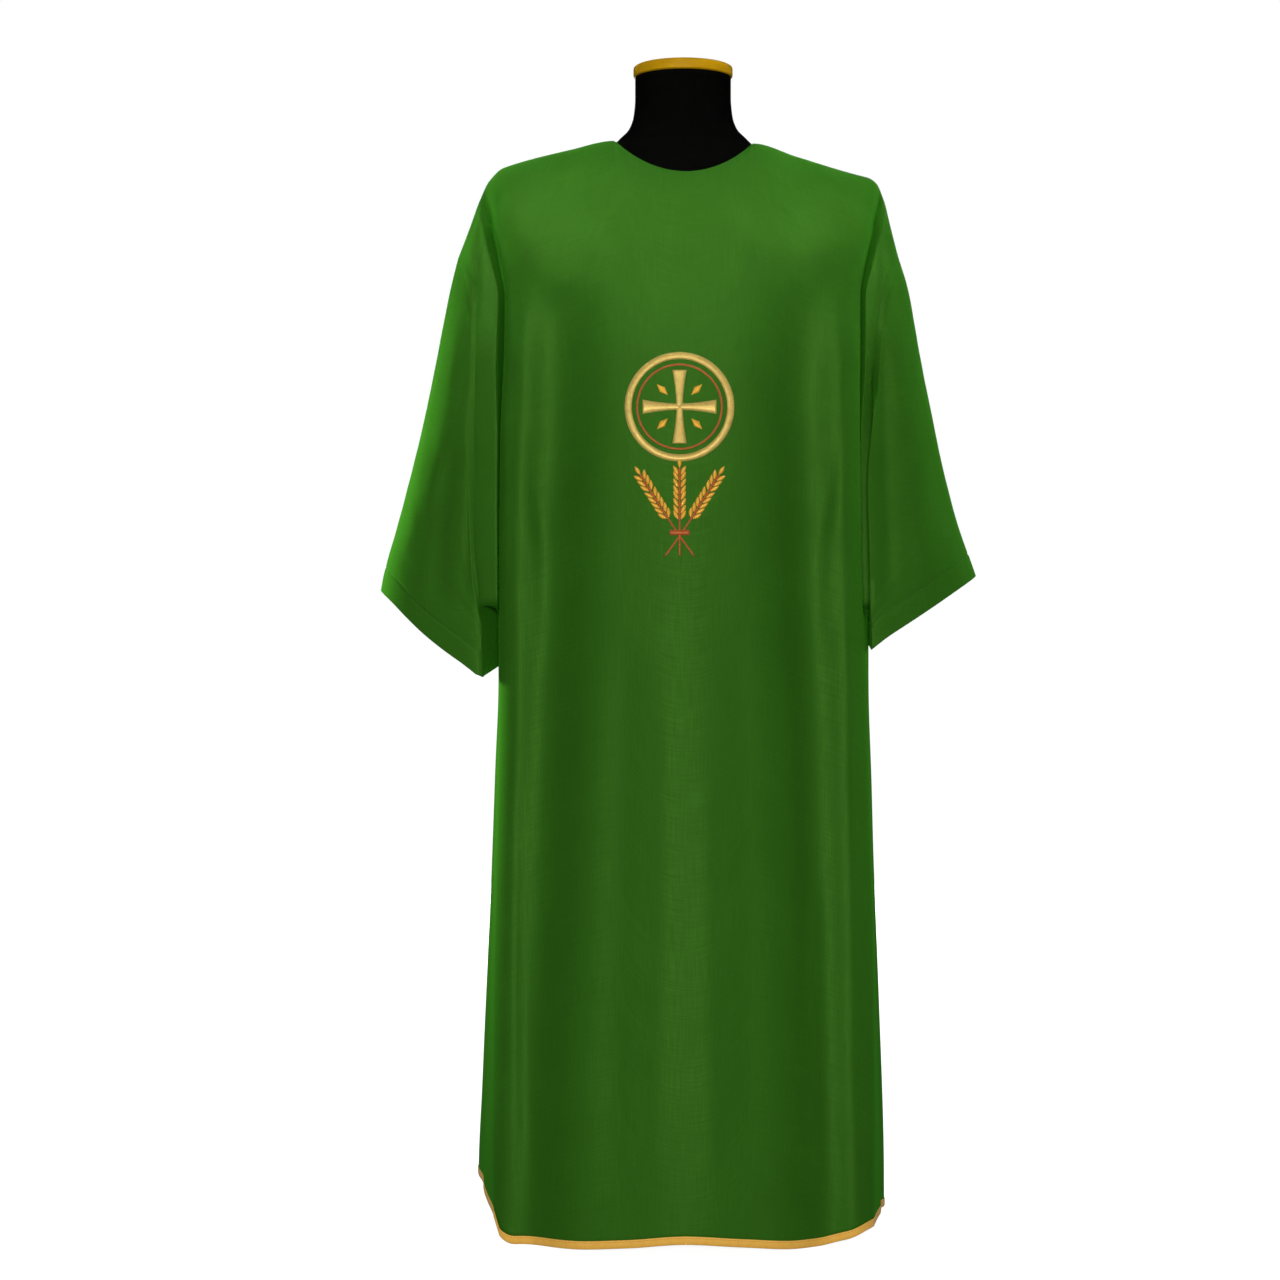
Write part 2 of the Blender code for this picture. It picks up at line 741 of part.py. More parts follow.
def torso(made_of):
    """The dress form's torso and neck, lofted through its rings."""
    bm = bmesh.new()
    loops = []
    for ring in FORM:
        made = bmesh.ops.create_circle(bm, segments=FORM_SIDES, radius=1)
        verts = made["verts"]
        for i, vert in enumerate(verts):
            angle = math.tau * i / FORM_SIDES
            across = math.sin(angle)
            along = math.cos(angle)
            depth = ring.front if along > 0 else ring.back
            vert.co.x = ring.half * math.copysign(abs(across) ** (2 / ring.power), across)
            vert.co.y = -depth * math.copysign(abs(along) ** (2 / ring.power), along)
            vert.co.z = ring.height
        loops.append(list({edge for vert in verts for edge in vert.link_edges}))
    for upper, lower in zip(loops, loops[1:]):
        bmesh.ops.bridge_loops(bm, edges=upper + lower)
    bmesh.ops.holes_fill(bm, edges=loops[0] + loops[-1], sides=FORM_SIDES)
    bmesh.ops.recalc_face_normals(bm, faces=bm.faces[:])
    return add_object("form", bm, made_of)


def build():
    for old in list(bpy.data.objects):
        bpy.data.objects.remove(old)
    green = material("green_cloth", (0.042, 0.150, 0.016), 0.8)
    gold = material("gold_binding", (0.62, 0.30, 0.03), 0.5)
    black = material("black_jersey", (0.003, 0.003, 0.003), 0.8)
    ochre = material("ochre_cap", (0.44, 0.23, 0.008), 0.5)
    steel = material("painted_steel", (0.01, 0.01, 0.01), 0.4, 0.5)
    edges = {}
    for face in ("front", "back"):
        _, edges[face] = panel(face, green)
        binding(face, gold)
    for side in ("right", "left"):
        sleeve(side, edges, green)
    torso(black)
    turned("neck_cap", CAP_PROFILE, ochre)
    turned("stand_pole", POLE_PROFILE, steel)
    turned("stand_base", BASE_PROFILE, steel)


build()
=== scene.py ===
"""The finished dalmatic on its dress form: cloth, seams, hems, binding, embroidery and finishes.

Tables and surfaces are in millimetres, as a pattern cutter writes them; meshes are in metres.
+Z is up and the front faces -Y. Sides are the wearer's: right is -X, left is +X.
"""

import math
from bisect import bisect_right
from collections import namedtuple
from itertools import accumulate, chain, product

import bmesh
import bpy
from mathutils import Matrix, Vector, noise


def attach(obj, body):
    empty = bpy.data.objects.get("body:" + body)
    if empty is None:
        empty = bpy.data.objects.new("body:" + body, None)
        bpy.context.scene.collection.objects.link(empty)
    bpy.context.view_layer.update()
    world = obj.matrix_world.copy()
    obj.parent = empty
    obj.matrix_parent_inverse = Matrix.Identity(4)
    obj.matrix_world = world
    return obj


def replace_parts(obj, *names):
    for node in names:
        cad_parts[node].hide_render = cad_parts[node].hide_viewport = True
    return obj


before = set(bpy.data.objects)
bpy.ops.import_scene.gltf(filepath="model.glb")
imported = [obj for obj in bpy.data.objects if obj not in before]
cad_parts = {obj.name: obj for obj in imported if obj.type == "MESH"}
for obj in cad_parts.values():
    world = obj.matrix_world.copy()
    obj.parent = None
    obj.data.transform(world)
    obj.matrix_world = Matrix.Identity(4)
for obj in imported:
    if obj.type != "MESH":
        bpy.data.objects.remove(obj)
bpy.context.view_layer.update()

MM = 0.001

# ---------------------------------------------------------------- driving dimensions
CLOTH = 0.8  # polyester vestment cloth with its soft finish
SEAM = 0.1  # daylight left between two pieces at a seam
JOIN = 1068.0  # height at which the round of the shoulders ends
UNDERARM = 716.0  # height at which sleeve and body part
UNDERARM_PRESS = 1.4  # how far the sleeve presses into the body's side below it
POUCH_TILT = 8.0  # the side fold hangs this much lower at its outer edge
POUCH_DROP = 30.0  # stretch of the body's side that faces the end of the side fold

NECK_HALF = 80.0  # half width of the neckline
NECK_SHARE = 0.36  # where the neckline ends, as a share of the way to the shoulder end
NECK_HEIGHT = 1246.5  # of its two ends, taken together
NECK_DROP = {"front": 47.0, "back": 20.0}
NECK_TURNING = 12.0  # cloth turned under at the neckline
SHOULDER_ROUND = {"front": 0.9, "back": 0.65}  # exponent of the shoulder's round
BODY_ROUND = 0.75  # the same across a panel and along the neckline
SIDE_ROUND = 1.5  # the same round the body's side
SLEEVE_ROUND = 0.9  # the same across half a sleeve
SLEEVE_BEND = 1.5  # exponent with which a sleeve's rows tilt to those of its corner
SLEEVE_SLANT = 0.35  # how far the inner half of a sleeve slants back from its corner
FOLD_EDGE = 10  # exponent with which the folds die away at the panel's turn
CORNER_END = UNDERARM - 60.0  # where the sleeve's corner is read for its height at the cuff
SLEEVE_HEM = 27.0  # depth of the stitched hem inside each cuff
STITCH_LONG = 3.0  # one stitch of the machine-sewn hems
STITCH_GAP = 0.9
STITCH_WIDE = 0.6
STITCH_HIGH = 0.25  # half of a stitch's thickness

# How the cloth is relaxed, in passes of smoothing, and where.
CORNER_FROM = 0.95  # share of a panel past which its folded corners are relaxed
CORNER_PASSES = 3
TURN_PASSES = 4  # round the panel's turn
SIDE_PASSES = 10  # and once more round the turn of the skirt
SLEEVE_PASSES = 2

# Turned edges: (inwards from the face, back along it) at each step of the turning.
NECK_FOLD = ((0.25, -0.35), (0.8, -0.45), (1.35, -0.2), (1.5, 1.2), (1.5, NECK_TURNING))
CUFF_FOLD = ((0.3, -0.4), (0.9, -0.5), (1.5, -0.2), (1.7, 2.0), (1.7, 8.0), (1.7, 15.0), (1.6, 26.0))

# Rows of the panels, in steps over the shoulder, beside the sleeve, round the end of the side
# fold and down the skirt.
SHOULDER_ROWS = 8
UPPER_ROWS = 8
POUCH_ROWS = 3
LOWER_ROWS = 8
ARMHOLE_ROWS = UPPER_ROWS + POUCH_ROWS
SLEEVE_ROWS = ARMHOLE_ROWS + 3
HALF_SLEEVE = SHOULDER_ROWS
FRONT_PLACES = HALF_SLEEVE / 2

# The ridge from the neck over the shoulder end (share 1) to the top of the armhole (share 2).
Ridge = namedtuple("Ridge", "share x height")
RIDGE = {
    "right": (
        Ridge(0.0, 0, 1243),
        Ridge(0.36, 80, 1248),
        Ridge(0.60, 130, 1238),
        Ridge(0.89, 194, 1222),
        Ridge(0.97, 211, 1216.5),
        Ridge(1.00, 217, 1211),
        Ridge(1.15, 227, 1199),
        Ridge(1.40, 235, 1181),
        Ridge(1.70, 247, 1147),
        Ridge(2.00, 260, 1113),
    ),
    "left": (
        Ridge(0.0, 0, 1243),
        Ridge(0.36, 80, 1245),
        Ridge(0.60, 130, 1230),
        Ridge(0.89, 194, 1211),
        Ridge(1.00, 217, 1205),
        Ridge(1.15, 226, 1197),
        Ridge(1.40, 232, 1181),
        Ridge(1.70, 240, 1147),
        Ridge(2.00, 249, 1113),
    ),
}

# The body: where each panel turns to the side, its depth at the centre, its depth at the turn.
Body = namedtuple("Body", "height right left front back front_edge back_edge")
BODY = (
    Body(1068, 201, 199, 130, 118, 80, 76),
    Body(994, 203, 199, 135, 124, 84, 80),
    Body(908, 208, 199, 137, 126, 88, 84),
    Body(794, 209, 200, 140, 128, 92, 88),
    Body(716, 209, 202, 144, 131, 94, 90),
    Body(626, 208, 206, 150, 138, 93, 92),
    Body(514, 210, 208, 157, 148, 97, 98),
    Body(379, 212, 211, 166, 160, 105, 108),
    Body(268, 213, 212, 174, 170, 112, 114),
    Body(157, 213, 212, 182, 180, 120, 122),
    Body(54, 212, 211, 188, 188, 127, 128),
    Body(-6, 211, 210, 190, 191, 130, 130),
)

# Half width at the side seams.
Side = namedtuple("Side", "height right left")
SIDE = (
    Side(716, 214, 215),
    Side(626, 213.5, 214.5),
    Side(514, 218, 218),
    Side(379, 223, 222),
    Side(268, 228, 226.5),
    Side(157, 233, 230.5),
    Side(54, 237, 233),
    Side(-6, 237, 233),
)

# The fold that hangs between body and sleeve: the gap beside the body, the fold's outer edge and
# depth, the depth left in the gap, the armhole seam, and the sleeve's corner beside the seam.
Tuck = namedtuple("Tuck", "height gap outer depth valley seam_x seam_depth corner_x corner_depth")
TUCK = {
    ("right", "front"): (
        Tuck(1068, 9, 235, 74, 36, 233.5, 66, 241, 67),
        Tuck(994, 9, 237.5, 83, 14, 234.5, 70, 244, 71),
        Tuck(908, 2.8, 238.5, 88, 8, 235, 73, 246, 75),
        Tuck(840, 2.2, 238.5, 92, 8, 235, 76, 246, 79),
        Tuck(772, 1.8, 236.5, 95, 20, 233, 79, 243, 82),
        Tuck(708, 1.3, 231, 97, 16, 228, 84, 234, 86),
        Tuck(684, 1.3, 231, 97, 16, 228, 84, 228, 87),
        Tuck(628, 1.3, 231, 97, 16, 228, 84, 227, 86),
    ),
    ("left", "front"): (
        Tuck(1068, 6.5, 225, 73, 34, 223, 65, 231, 66),
        Tuck(1024, 6.5, 220, 75, 26, 218, 66, 227, 70),
        Tuck(972, 6, 214, 70, 18, 214, 60, 222, 74),
        Tuck(923, 3, 212.5, 60, 14, 216, 54, 213, 81),
        Tuck(840, 1.6, 215, 53, 26, 219, 51, 206, 86),
        Tuck(772, 1.3, 216, 51, 22, 220, 50, 207.5, 89),
        Tuck(708, 1.3, 216, 50, 18, 220, 50, 208.5, 90),
        Tuck(684, 1.3, 216, 50, 18, 220, 50, 209.5, 90),
        Tuck(628, 1.3, 216, 50, 18, 220, 50, 211, 89),
    ),
    ("right", "back"): (
        Tuck(1068, 9, 236, 72, 42, 233.5, 64, 242, 65),
        Tuck(994, 10, 238, 80, 34, 235, 68, 245, 69),
        Tuck(908, 7, 239, 86, 28, 235.5, 72, 247, 74),
        Tuck(840, 5, 239, 90, 24, 235.5, 75, 247, 78),
        Tuck(772, 4, 237, 94, 20, 233.5, 78, 244, 82),
        Tuck(708, 4, 232, 96, 16, 229, 84, 236, 87),
        Tuck(684, 4, 232, 96, 16, 229, 84, 229, 89),
        Tuck(628, 4, 232, 96, 16, 229, 84, 227, 89),
    ),
    ("left", "back"): (
        Tuck(1068, 8, 228, 71, 42, 226, 63, 234, 64),
        Tuck(994, 9, 229, 79, 34, 226.5, 67, 236, 68),
        Tuck(908, 7, 230, 85, 28, 227, 71, 238, 74),
        Tuck(840, 5, 231, 90, 24, 228, 75, 239, 79),
        Tuck(772, 4, 231, 94, 20, 228, 78, 238, 83),
        Tuck(708, 4, 229, 96, 16, 226, 83, 233, 88),
        Tuck(684, 4, 229, 96, 16, 226, 83, 227, 90),
        Tuck(628, 4, 229, 96, 16, 226, 83, 226, 90),
    ),
}

POUCH_FROM = 0.9  # share of the panel at which the curve of the side fold is picked up
POUCH_BULGE = 0.6  # how far its outer edge has come from its own depth to the seam's

# The sleeve's folded top line, seen from the front.
Top = namedtuple("Top", "height x")
SLEEVE_TOP = {
    "right": (
        Top(1113, 260),
        Top(1068, 271),
        Top(1007, 283),
        Top(938, 297),
        Top(868, 313.5),
        Top(799, 332),
        Top(746, 347),
        Top(729, 350),
        Top(614, 376),
    ),
    "left": (
        Top(1113, 249),
        Top(1068, 262),
        Top(1007, 272.5),
        Top(938, 286.5),
        Top(868, 301.5),
        Top(799, 320),
        Top(746, 339),
        Top(614, 380),
    ),
}

# The slanting open end of each sleeve: the height of its edge by distance from the middle.
Cuff = namedtuple("Cuff", "x front back")
CUFF = {
    "right": (
        Cuff(215, 642, 646),
        Cuff(227, 630, 639),
        Cuff(248, 645, 651),
        Cuff(292, 680, 683),
        Cuff(328, 713, 714),
        Cuff(350, 729, 729),
    ),
    "left": (
        Cuff(209, 660, 666),
        Cuff(229, 676, 680),
        Cuff(255, 694, 696),
        Cuff(306, 727, 728),
        Cuff(339, 746, 746),
    ),
}
CUFF_AT_UNDERARM = {"right": 642.0, "left": 668.0}

# Height of the bottom edge, by share of the way round: 1 is the panel's turn, 2 the side seam.
Hem = namedtuple("Hem", "share front back")
HEM = (
    Hem(-2.0, 54, 50),
    Hem(-1.75, 51, 47),
    Hem(-1.5, 45.5, 42),
    Hem(-1.25, 37, 35),
    Hem(-1.0, 26, 25),
    Hem(-0.975, 9, 19),
    Hem(-0.94, 3, 12),
    Hem(-0.9, 0.5, 9),
    Hem(-0.6, 2, 4),
    Hem(-0.3, 6.5, 4),
    Hem(0.0, 12.5, 6),
    Hem(0.3, 7.5, 4),
    Hem(0.7, 0.5, 5),
    Hem(0.85, 7, 8),
    Hem(1.0, 18, 15),
    Hem(1.25, 22, 19),
    Hem(1.5, 22, 22),
    Hem(2.0, 16, 18),
)

# Soft folds that hang down the body, forward if the depth is positive, from the height where
# each starts to the height where it is full, and on to the hem.
Fold = namedtuple("Fold", "top_x foot_x width start full depth")
FOLDS = {
    "front": (
        Fold(-8, 2, 55, 1060, 560, 8),
        Fold(-136, -177, 36, 1124, 985, -19),
        Fold(-188, -206, 20, 1100, 950, 8),
        Fold(127, 158, 36, 1124, 950, -19),
        Fold(184, 196, 21, 1124, 950, 9),
    ),
    "back": (
        Fold(-8, -14, 34, 1044, 520, -15),
        Fold(-74, -92, 36, 1014, 500, 12),
        Fold(-140, -156, 28, 974, 480, -12),
        Fold(60, 70, 34, 1014, 500, 12),
        Fold(128, 140, 30, 974, 480, -13),
        Fold(176, 188, 24, 894, 440, 7),
    ),
}

# Soft folds down the sides of the skirt, by side. Here x is the place from front to back.
SIDE_FOLDS = {
    "right": (
        Fold(-34, -44, 19, 660, 330, -3),
        Fold(40, 54, 19, 640, 300, -8),
        Fold(74, 92, 16, 600, 300, 3),
    ),
    "left": (
        Fold(-38, -50, 19, 650, 320, -3),
        Fold(30, 42, 18, 660, 340, -9),
        Fold(72, 88, 16, 600, 300, 4),
    ),
}

# Creases pressed in by wearing, by side or panel, from one end to the other. Each is a soft
# ridge if its depth is positive and a soft trough if not, and bows sideways by `bow`.
Crease = namedtuple("Crease", "x0 h0 x1 h1 bow width depth")
CREASES = {
    "front": (
        # the strain from the right shoulder's end towards the chest, and the hollow above it
        Crease(-214, 1172, -110, 1052, 4, 26, 4.0),
        Crease(-156, 1208, -52, 1086, 0, 26, -5.0),
        # the same, softer, from the other shoulder
        Crease(206, 1166, 96, 1052, -4, 26, 2.5),
        Crease(168, 1200, 120, 1150, 4, 20, -2.0),
        # the two sides of the chest, the slack under them and the hollow down to the waist
        Crease(-180, 1104, -70, 1098, 0, 34, 3.0),
        Crease(40, 1106, 176, 1108, 0, 38, 5.0),
        # drag lines beside the arms
        Crease(-196, 1010, -150, 760, 8, 12, -1.8),
        Crease(-186, 930, -168, 640, -6, 9, 1.6),
        Crease(186, 1000, 146, 770, -8, 12, -1.6),
        Crease(182, 900, 160, 660, 6, 9, 1.4),
        # long soft drapes of the skirt
        Crease(-64, 700, -78, 30, 6, 20, -1.8),
        Crease(-20, 640, -34, 40, -4, 14, 1.2),
        Crease(58, 690, 74, 60, -5, 22, -1.6),
        Crease(24, 560, 30, 20, 3, 12, 1.0),
        Crease(-184, 560, -172, 60, 3, 8, -1.6),
        Crease(196, 600, 192, 90, -3, 9, -1.8),
        Crease(146, 420, 148, 20, 3, 10, 1.6),
    ),
    "back": (
        Crease(-190, 1150, -30, 1090, 12, 18, 3.0),
        Crease(186, 1146, 40, 1082, 12, 20, 3.0),
        Crease(-120, 1190, 110, 1186, -14, 14, -1.8),
        Crease(-170, 1090, -70, 960, 6, 16, -2.4),
        Crease(164, 1084, 84, 950, -6, 16, -2.2),
        Crease(-40, 1060, -24, 820, 5, 14, 2.0),
        Crease(34, 1040, 22, 840, -5, 15, 1.8),
        Crease(-196, 960, -172, 690, 6, 11, 1.6),
        Crease(192, 950, 176, 700, -6, 11, 1.6),
        Crease(-112, 620, -122, 40, 4, 12, 1.6),
        Crease(38, 640, 30, 60, -4, 12, -1.8),
        Crease(104, 560, 112, 30, 4, 11, 1.6),
        Crease(-44, 520, -52, 20, -4, 10, -1.6),
    ),
    ("right", "front"): (
        Crease(238, 1090, 262, 940, 4, 9, -1.6),
        Crease(240, 1075, 245, 690, 0, 3.5, -2.8),
        Crease(233.5, 1070, 239, 690, 0, 3.5, 1.6),
        Crease(252, 1046, 300, 800, 6, 12, 2.0),
        Crease(262, 900, 280, 700, -4, 11, -2.2),
        Crease(296, 900, 320, 760, 3, 9, 1.2),
    ),
    ("right", "back"): (
        Crease(246, 1080, 288, 880, 5, 10, 2.0),
        Crease(254, 940, 300, 740, -5, 12, -2.6),
        Crease(268, 820, 262, 690, 3, 9, 1.8),
    ),
    ("left", "front"): (
        Crease(222, 1076, 232, 690, 0, 9, -3.2),
        Crease(236, 1060, 276, 720, -4, 17, 3.6),
        Crease(286, 900, 312, 790, 4, 9, -1.6),
    ),
    ("left", "back"): (
        Crease(238, 1086, 276, 900, -5, 10, 2.0),
        Crease(246, 940, 286, 760, 5, 12, -2.4),
        Crease(262, 860, 258, 700, -3, 9, 1.6),
    ),
}

# The same over the shoulder ends, where the sleeve's folds begin.
ARM_CREASES = {
    ("right", "front"): (
        Crease(-230.5, 1176, -238, 1020, 0, 3.5, -2.4),
        Crease(-225.5, 1170, -230, 1060, 0, 5, 1.6),
    ),
    ("left", "front"): (
        Crease(214, 1166, 226, 1060, -5, 3.5, -2.0),
        Crease(208, 1160, 219, 1060, -5, 5, 1.2),
    ),
    ("right", "back"): (Crease(-228, 1172, -236, 1056, 2, 5, -1.6),),
    ("left", "back"): (Crease(220, 1170, 228, 1058, -2, 5, -1.6),),
}
CREASE_FULL = 1.6  # how soon along its length a crease is at its full depth
CREASE_FADE = 0.25  # share past the panel's turn at which its creases have died away
SEAM_FADE = 2.5  # rows of a sleeve over which its own creases begin
CORNER_SOFT = 1190.0  # height above which the shoulder ends stay crisp
TURN_SOFT = 0.1  # stretch each side of the panel's turn that is relaxed into a round
SURFACE_RIPPLE = 0.35  # height of the cloth's own faint unevenness
RIPPLE_LENGTH = 46.0
RIPPLE_STRETCH = 2.2  # how much longer it runs down the cloth than across
PANEL_RIPPLE = 2  # where in the noise a panel lies, and where a sleeve does
SLEEVE_RIPPLE = 4

# The pieces as they are cut: widest, longest and, where that isn't a rectangle, the area.
Cut = namedtuple("Cut", "width length area", defaults=(None,))

# How a made-up edge rolls under, by distance from it: (share short of the seam, dip of the cloth).
SEAM_ROLL = ((0.0, 0.6), (0.008, 0.25), (0.02, 0.06))
SHOULDER_ROLL = 0.05  # one row of a panel below the shoulder seam, as a share
ARMHOLE_ROLL = 0.2  # one place of a sleeve beside its seam, as a share

# The dress form: half width, depth to the front and depth to the back at each height.
Ring = namedtuple("Ring", "height half front back power")
FORM = (
    Ring(1322.7, 55.5, 54, 56, 2.0),
    Ring(1299, 55.5, 54, 56, 2.0),
    Ring(1277, 57.5, 55, 57, 2.0),
    Ring(1262, 63, 56, 57, 2.0),
    Ring(1251, 73.5, 57, 57, 2.1),
    Ring(1244, 81, 58, 57, 2.0),
    Ring(1235, 96, 60, 58, 2.1),
    Ring(1224, 129, 63, 61, 2.2),
    Ring(1213, 167, 69, 65, 2.2),
    Ring(1201, 196, 74, 70, 2.2),
    Ring(1184, 207, 82, 77, 2.2),
    Ring(1149, 206, 95, 90, 2.2),
    Ring(1104, 197, 109, 101, 2.2),
    Ring(1054, 188, 117, 106, 2.2),
    Ring(994, 181, 118, 106, 2.2),
    Ring(924, 171, 110, 100, 2.2),
    Ring(854, 161, 101, 94, 2.2),
    Ring(794, 158, 98, 93, 2.2),
    Ring(734, 164, 103, 99, 2.2),
    Ring(674, 172, 110, 107, 2.2),
    Ring(614, 175, 112, 112, 2.2),
    Ring(569, 172, 110, 110, 2.2),
    Ring(556, 166, 104, 104, 2.2),
    Ring(550, 154, 93, 93, 2.2),
)

FORM_SIDES = 96
FORM_ROWS = ((1322.7, 1180, 40), (1180, 550, 70))  # neck and shoulders, then the torso

# Turned pieces, as (radius, height) down the outer side.
CAP_PROFILE = (
    (0, 1338), (20, 1337.8), (38, 1337.1), (50, 1336.2), (55, 1335.3), (57, 1334.1),
    (57.5, 1332.6), (57.5, 1325), (57, 1323.6), (56, 1323), (0, 1323),
)
POLE_PROFILE = ((0, 549.7), (15.2, 549.7), (16, 549), (16, 13), (15.2, 12.3), (0, 12.3))
BASE_PROFILE = ((0, 12), (80, 12), (110, 10), (116, 8), (118, 5), (118, 0.8), (117, 0), (0, 0))
TURNED_STEPS = 96

SIGN = {"right": -1.0, "left": 1.0, "front": -1.0, "back": 1.0}


# ---------------------------------------------------------------- curves through the tables
def smooth(knots):
    """A function through (at, value) knots that never overshoots them."""
    knots = sorted(knots)
    at = [knot[0] for knot in knots]
    value = [knot[1] for knot in knots]
    steps = [b - a for a, b in zip(at, at[1:])]
    slopes = [(b - a) / step for a, b, step in zip(value, value[1:], steps)]
    lean = [slopes[0]]
    for before, after in zip(slopes, slopes[1:]):
        lean.append(2 * before * after / (before + after) if before * after > 0 else 0.0)
    lean.append(slopes[-1])

    def at_place(x):
        x = min(max(x, at[0]), at[-1])
        i = min(bisect_right(at, x) - 1, len(steps) - 1)
        step = steps[i]
        t = (x - at[i]) / step
        rise = value[i + 1] - value[i]
        start = lean[i] * step
        end = lean[i + 1] * step
        return (
            value[i]
            + start * t
            + (3 * rise - 2 * start - end) * t * t
            + (start + end - 2 * rise) * t**3
        )

    return at_place


def columns(rows):
    """Every column of a table but the first, by name, as smooth functions of the first."""
    return {
        name: smooth([(row[0], getattr(row, name)) for row in rows])
        for name in rows[0]._fields[1:]
    }


def mix(a, b, share):
    """The value a share of the way from a to b."""
    return a + (b - a) * share


def eased(share):
    """0 to 1 with a gentle start and end."""
    share = min(max(share, 0.0), 1.0)
    return share * share * (3 - 2 * share)


body_at = columns(BODY)
side_at = columns(SIDE)
hem_at = columns(HEM)
ridge_at = {side: columns(rows) for side, rows in RIDGE.items()}
tuck_at = {place: columns(rows) for place, rows in TUCK.items()}
top_at = {side: columns(rows) for side, rows in SLEEVE_TOP.items()}
cuff_at = {side: columns(rows) for side, rows in CUFF.items()}


# ---------------------------------------------------------------- the garment's form
def fold_depth(folds, x, height):
    """How far soft folds push the cloth out at a place."""
    pushed = 0.0
    for fold in folds:
        down = min(max(1 - height / fold.start, 0.0), 1.0)
        middle = mix(fold.top_x, fold.foot_x, down)
        grown = eased((fold.start - height) / (fold.start - fold.full))
        pushed += fold.depth * grown * math.exp(-(((x - middle) / fold.width) ** 2))
    return pushed


def crease_depth(creases, x, height):
    """How far the creases push the cloth out at a place."""
    pushed = 0.0
    for crease in creases:
        run = crease.x1 - crease.x0
        drop = crease.h1 - crease.h0
        length = math.hypot(run, drop)
        along = ((x - crease.x0) * run + (height - crease.h0) * drop) / length**2
        if not 0 < along < 1:
            continue
        swell = 1 - (2 * along - 1) ** 2
        off = ((x - crease.x0) * drop - (height - crease.h0) * run) / length
        off -= crease.bow * swell
        pushed += crease.depth * eased(CREASE_FULL * swell) * math.exp(-((off / crease.width) ** 2))
    return pushed


def ripple(x, height, turn):
    """The faint unevenness of hanging cloth."""
    place = Vector((x / RIPPLE_LENGTH, height / (RIPPLE_LENGTH * RIPPLE_STRETCH), turn))
    return SURFACE_RIPPLE * noise.noise(place)


def body_plan(side, face, share, height):
    """(distance from the middle, depth) across a panel's main width, share 0 to 1."""
    edge_x = body_at[side](height)
    edge_depth = body_at[face + "_edge"](height)
    centre_depth = body_at[face](height)
    x = edge_x * share
    depth = mix(edge_depth, centre_depth, (1 - share * share) ** BODY_ROUND)
    fading = 1 - share**FOLD_EDGE
    return x, depth + fading * fold_depth(FOLDS[face], SIGN[side] * x, height)


def wall_plan(side, face, share, height):
    """The same round the body's side, from the turn (share 1) to the side seam (share 2)."""
    left = 2 - share
    x = mix(side_at[side](height), body_at[side](height), left**SIDE_ROUND)
    return x, body_at[face + "_edge"](height) * left


def pouch_plan(side, face, share, height):
    """The same across the side fold, from the turn (share 1) to the armhole seam (share 2)."""
    tuck = {name: at(height) for name, at in tuck_at[side, face].items()}
    edge = body_at[side](height)
    stations = (
        body_plan(side, face, POUCH_FROM, height),
        (edge, body_at[face + "_edge"](height)),
        (edge + tuck["gap"] / 2, tuck["valley"]),
        (edge + tuck["gap"], tuck["depth"]),
        (tuck["outer"], mix(tuck["depth"], tuck["seam_depth"], POUCH_BULGE)),
        (tuck["seam_x"], tuck["seam_depth"]),
    )
    place = (share - 1) * (len(stations) - 2)
    knots = [[(i - 1, station[axis]) for i, station in enumerate(stations)] for axis in (0, 1)]
    return tuple(smooth(along)(place) for along in knots)


def point(side, face, plan, height):
    """The place in space of a (distance from the middle, depth) at a height."""
    x, depth = plan
    return Vector((SIGN[side] * x, SIGN[face] * (depth + SEAM / 2), height))


def neckline_angle(side, face, share, ridge_x, ridge_height):
    """How far round the shoulder the neckline cuts a column off; 0 beyond the neckline."""
    if share >= NECK_SHARE:
        return 0.0
    end = mix(NECK_HEIGHT, ridge_at[side]["height"](NECK_SHARE), ridge_x / NECK_HALF)
    height = end - NECK_DROP[face] * (1 - (ridge_x / NECK_HALF) ** 2) ** BODY_ROUND
    down = max(ridge_height - height, 0.0) / (ridge_height - JOIN)
    return math.acos(1 - down)


def shoulder_point(side, face, share, row):
    """A point on the round from the ridge down to JOIN."""
    ridge_x = ridge_at[side]["x"](share)
    ridge_height = ridge_at[side]["height"](share)
    plan = body_plan if share <= 1 else pouch_plan
    foot_x, foot_depth = plan(side, face, share, JOIN)
    start = neckline_angle(side, face, share, ridge_x, ridge_height)
    angle = mix(start, math.pi / 2, row / SHOULDER_ROWS)
    down = 1 - math.cos(angle)
    spot = (mix(ridge_x, foot_x, down), foot_depth * math.sin(angle) ** SHOULDER_ROUND[face])
    return point(side, face, spot, mix(ridge_height, JOIN, down))


def pouch_height(share):
    """The height at which the side fold ends."""
    return UNDERARM - POUCH_TILT * max(share - 1, 0.0)


def pouch_row_height(share, row):
    """Heights of the rows that carry the end of the side fold back to the underarm."""
    end = mix(UNDERARM - POUCH_DROP, UNDERARM, max(share - 1, 0.0))
    return mix(pouch_height(share), end, row / POUCH_ROWS)


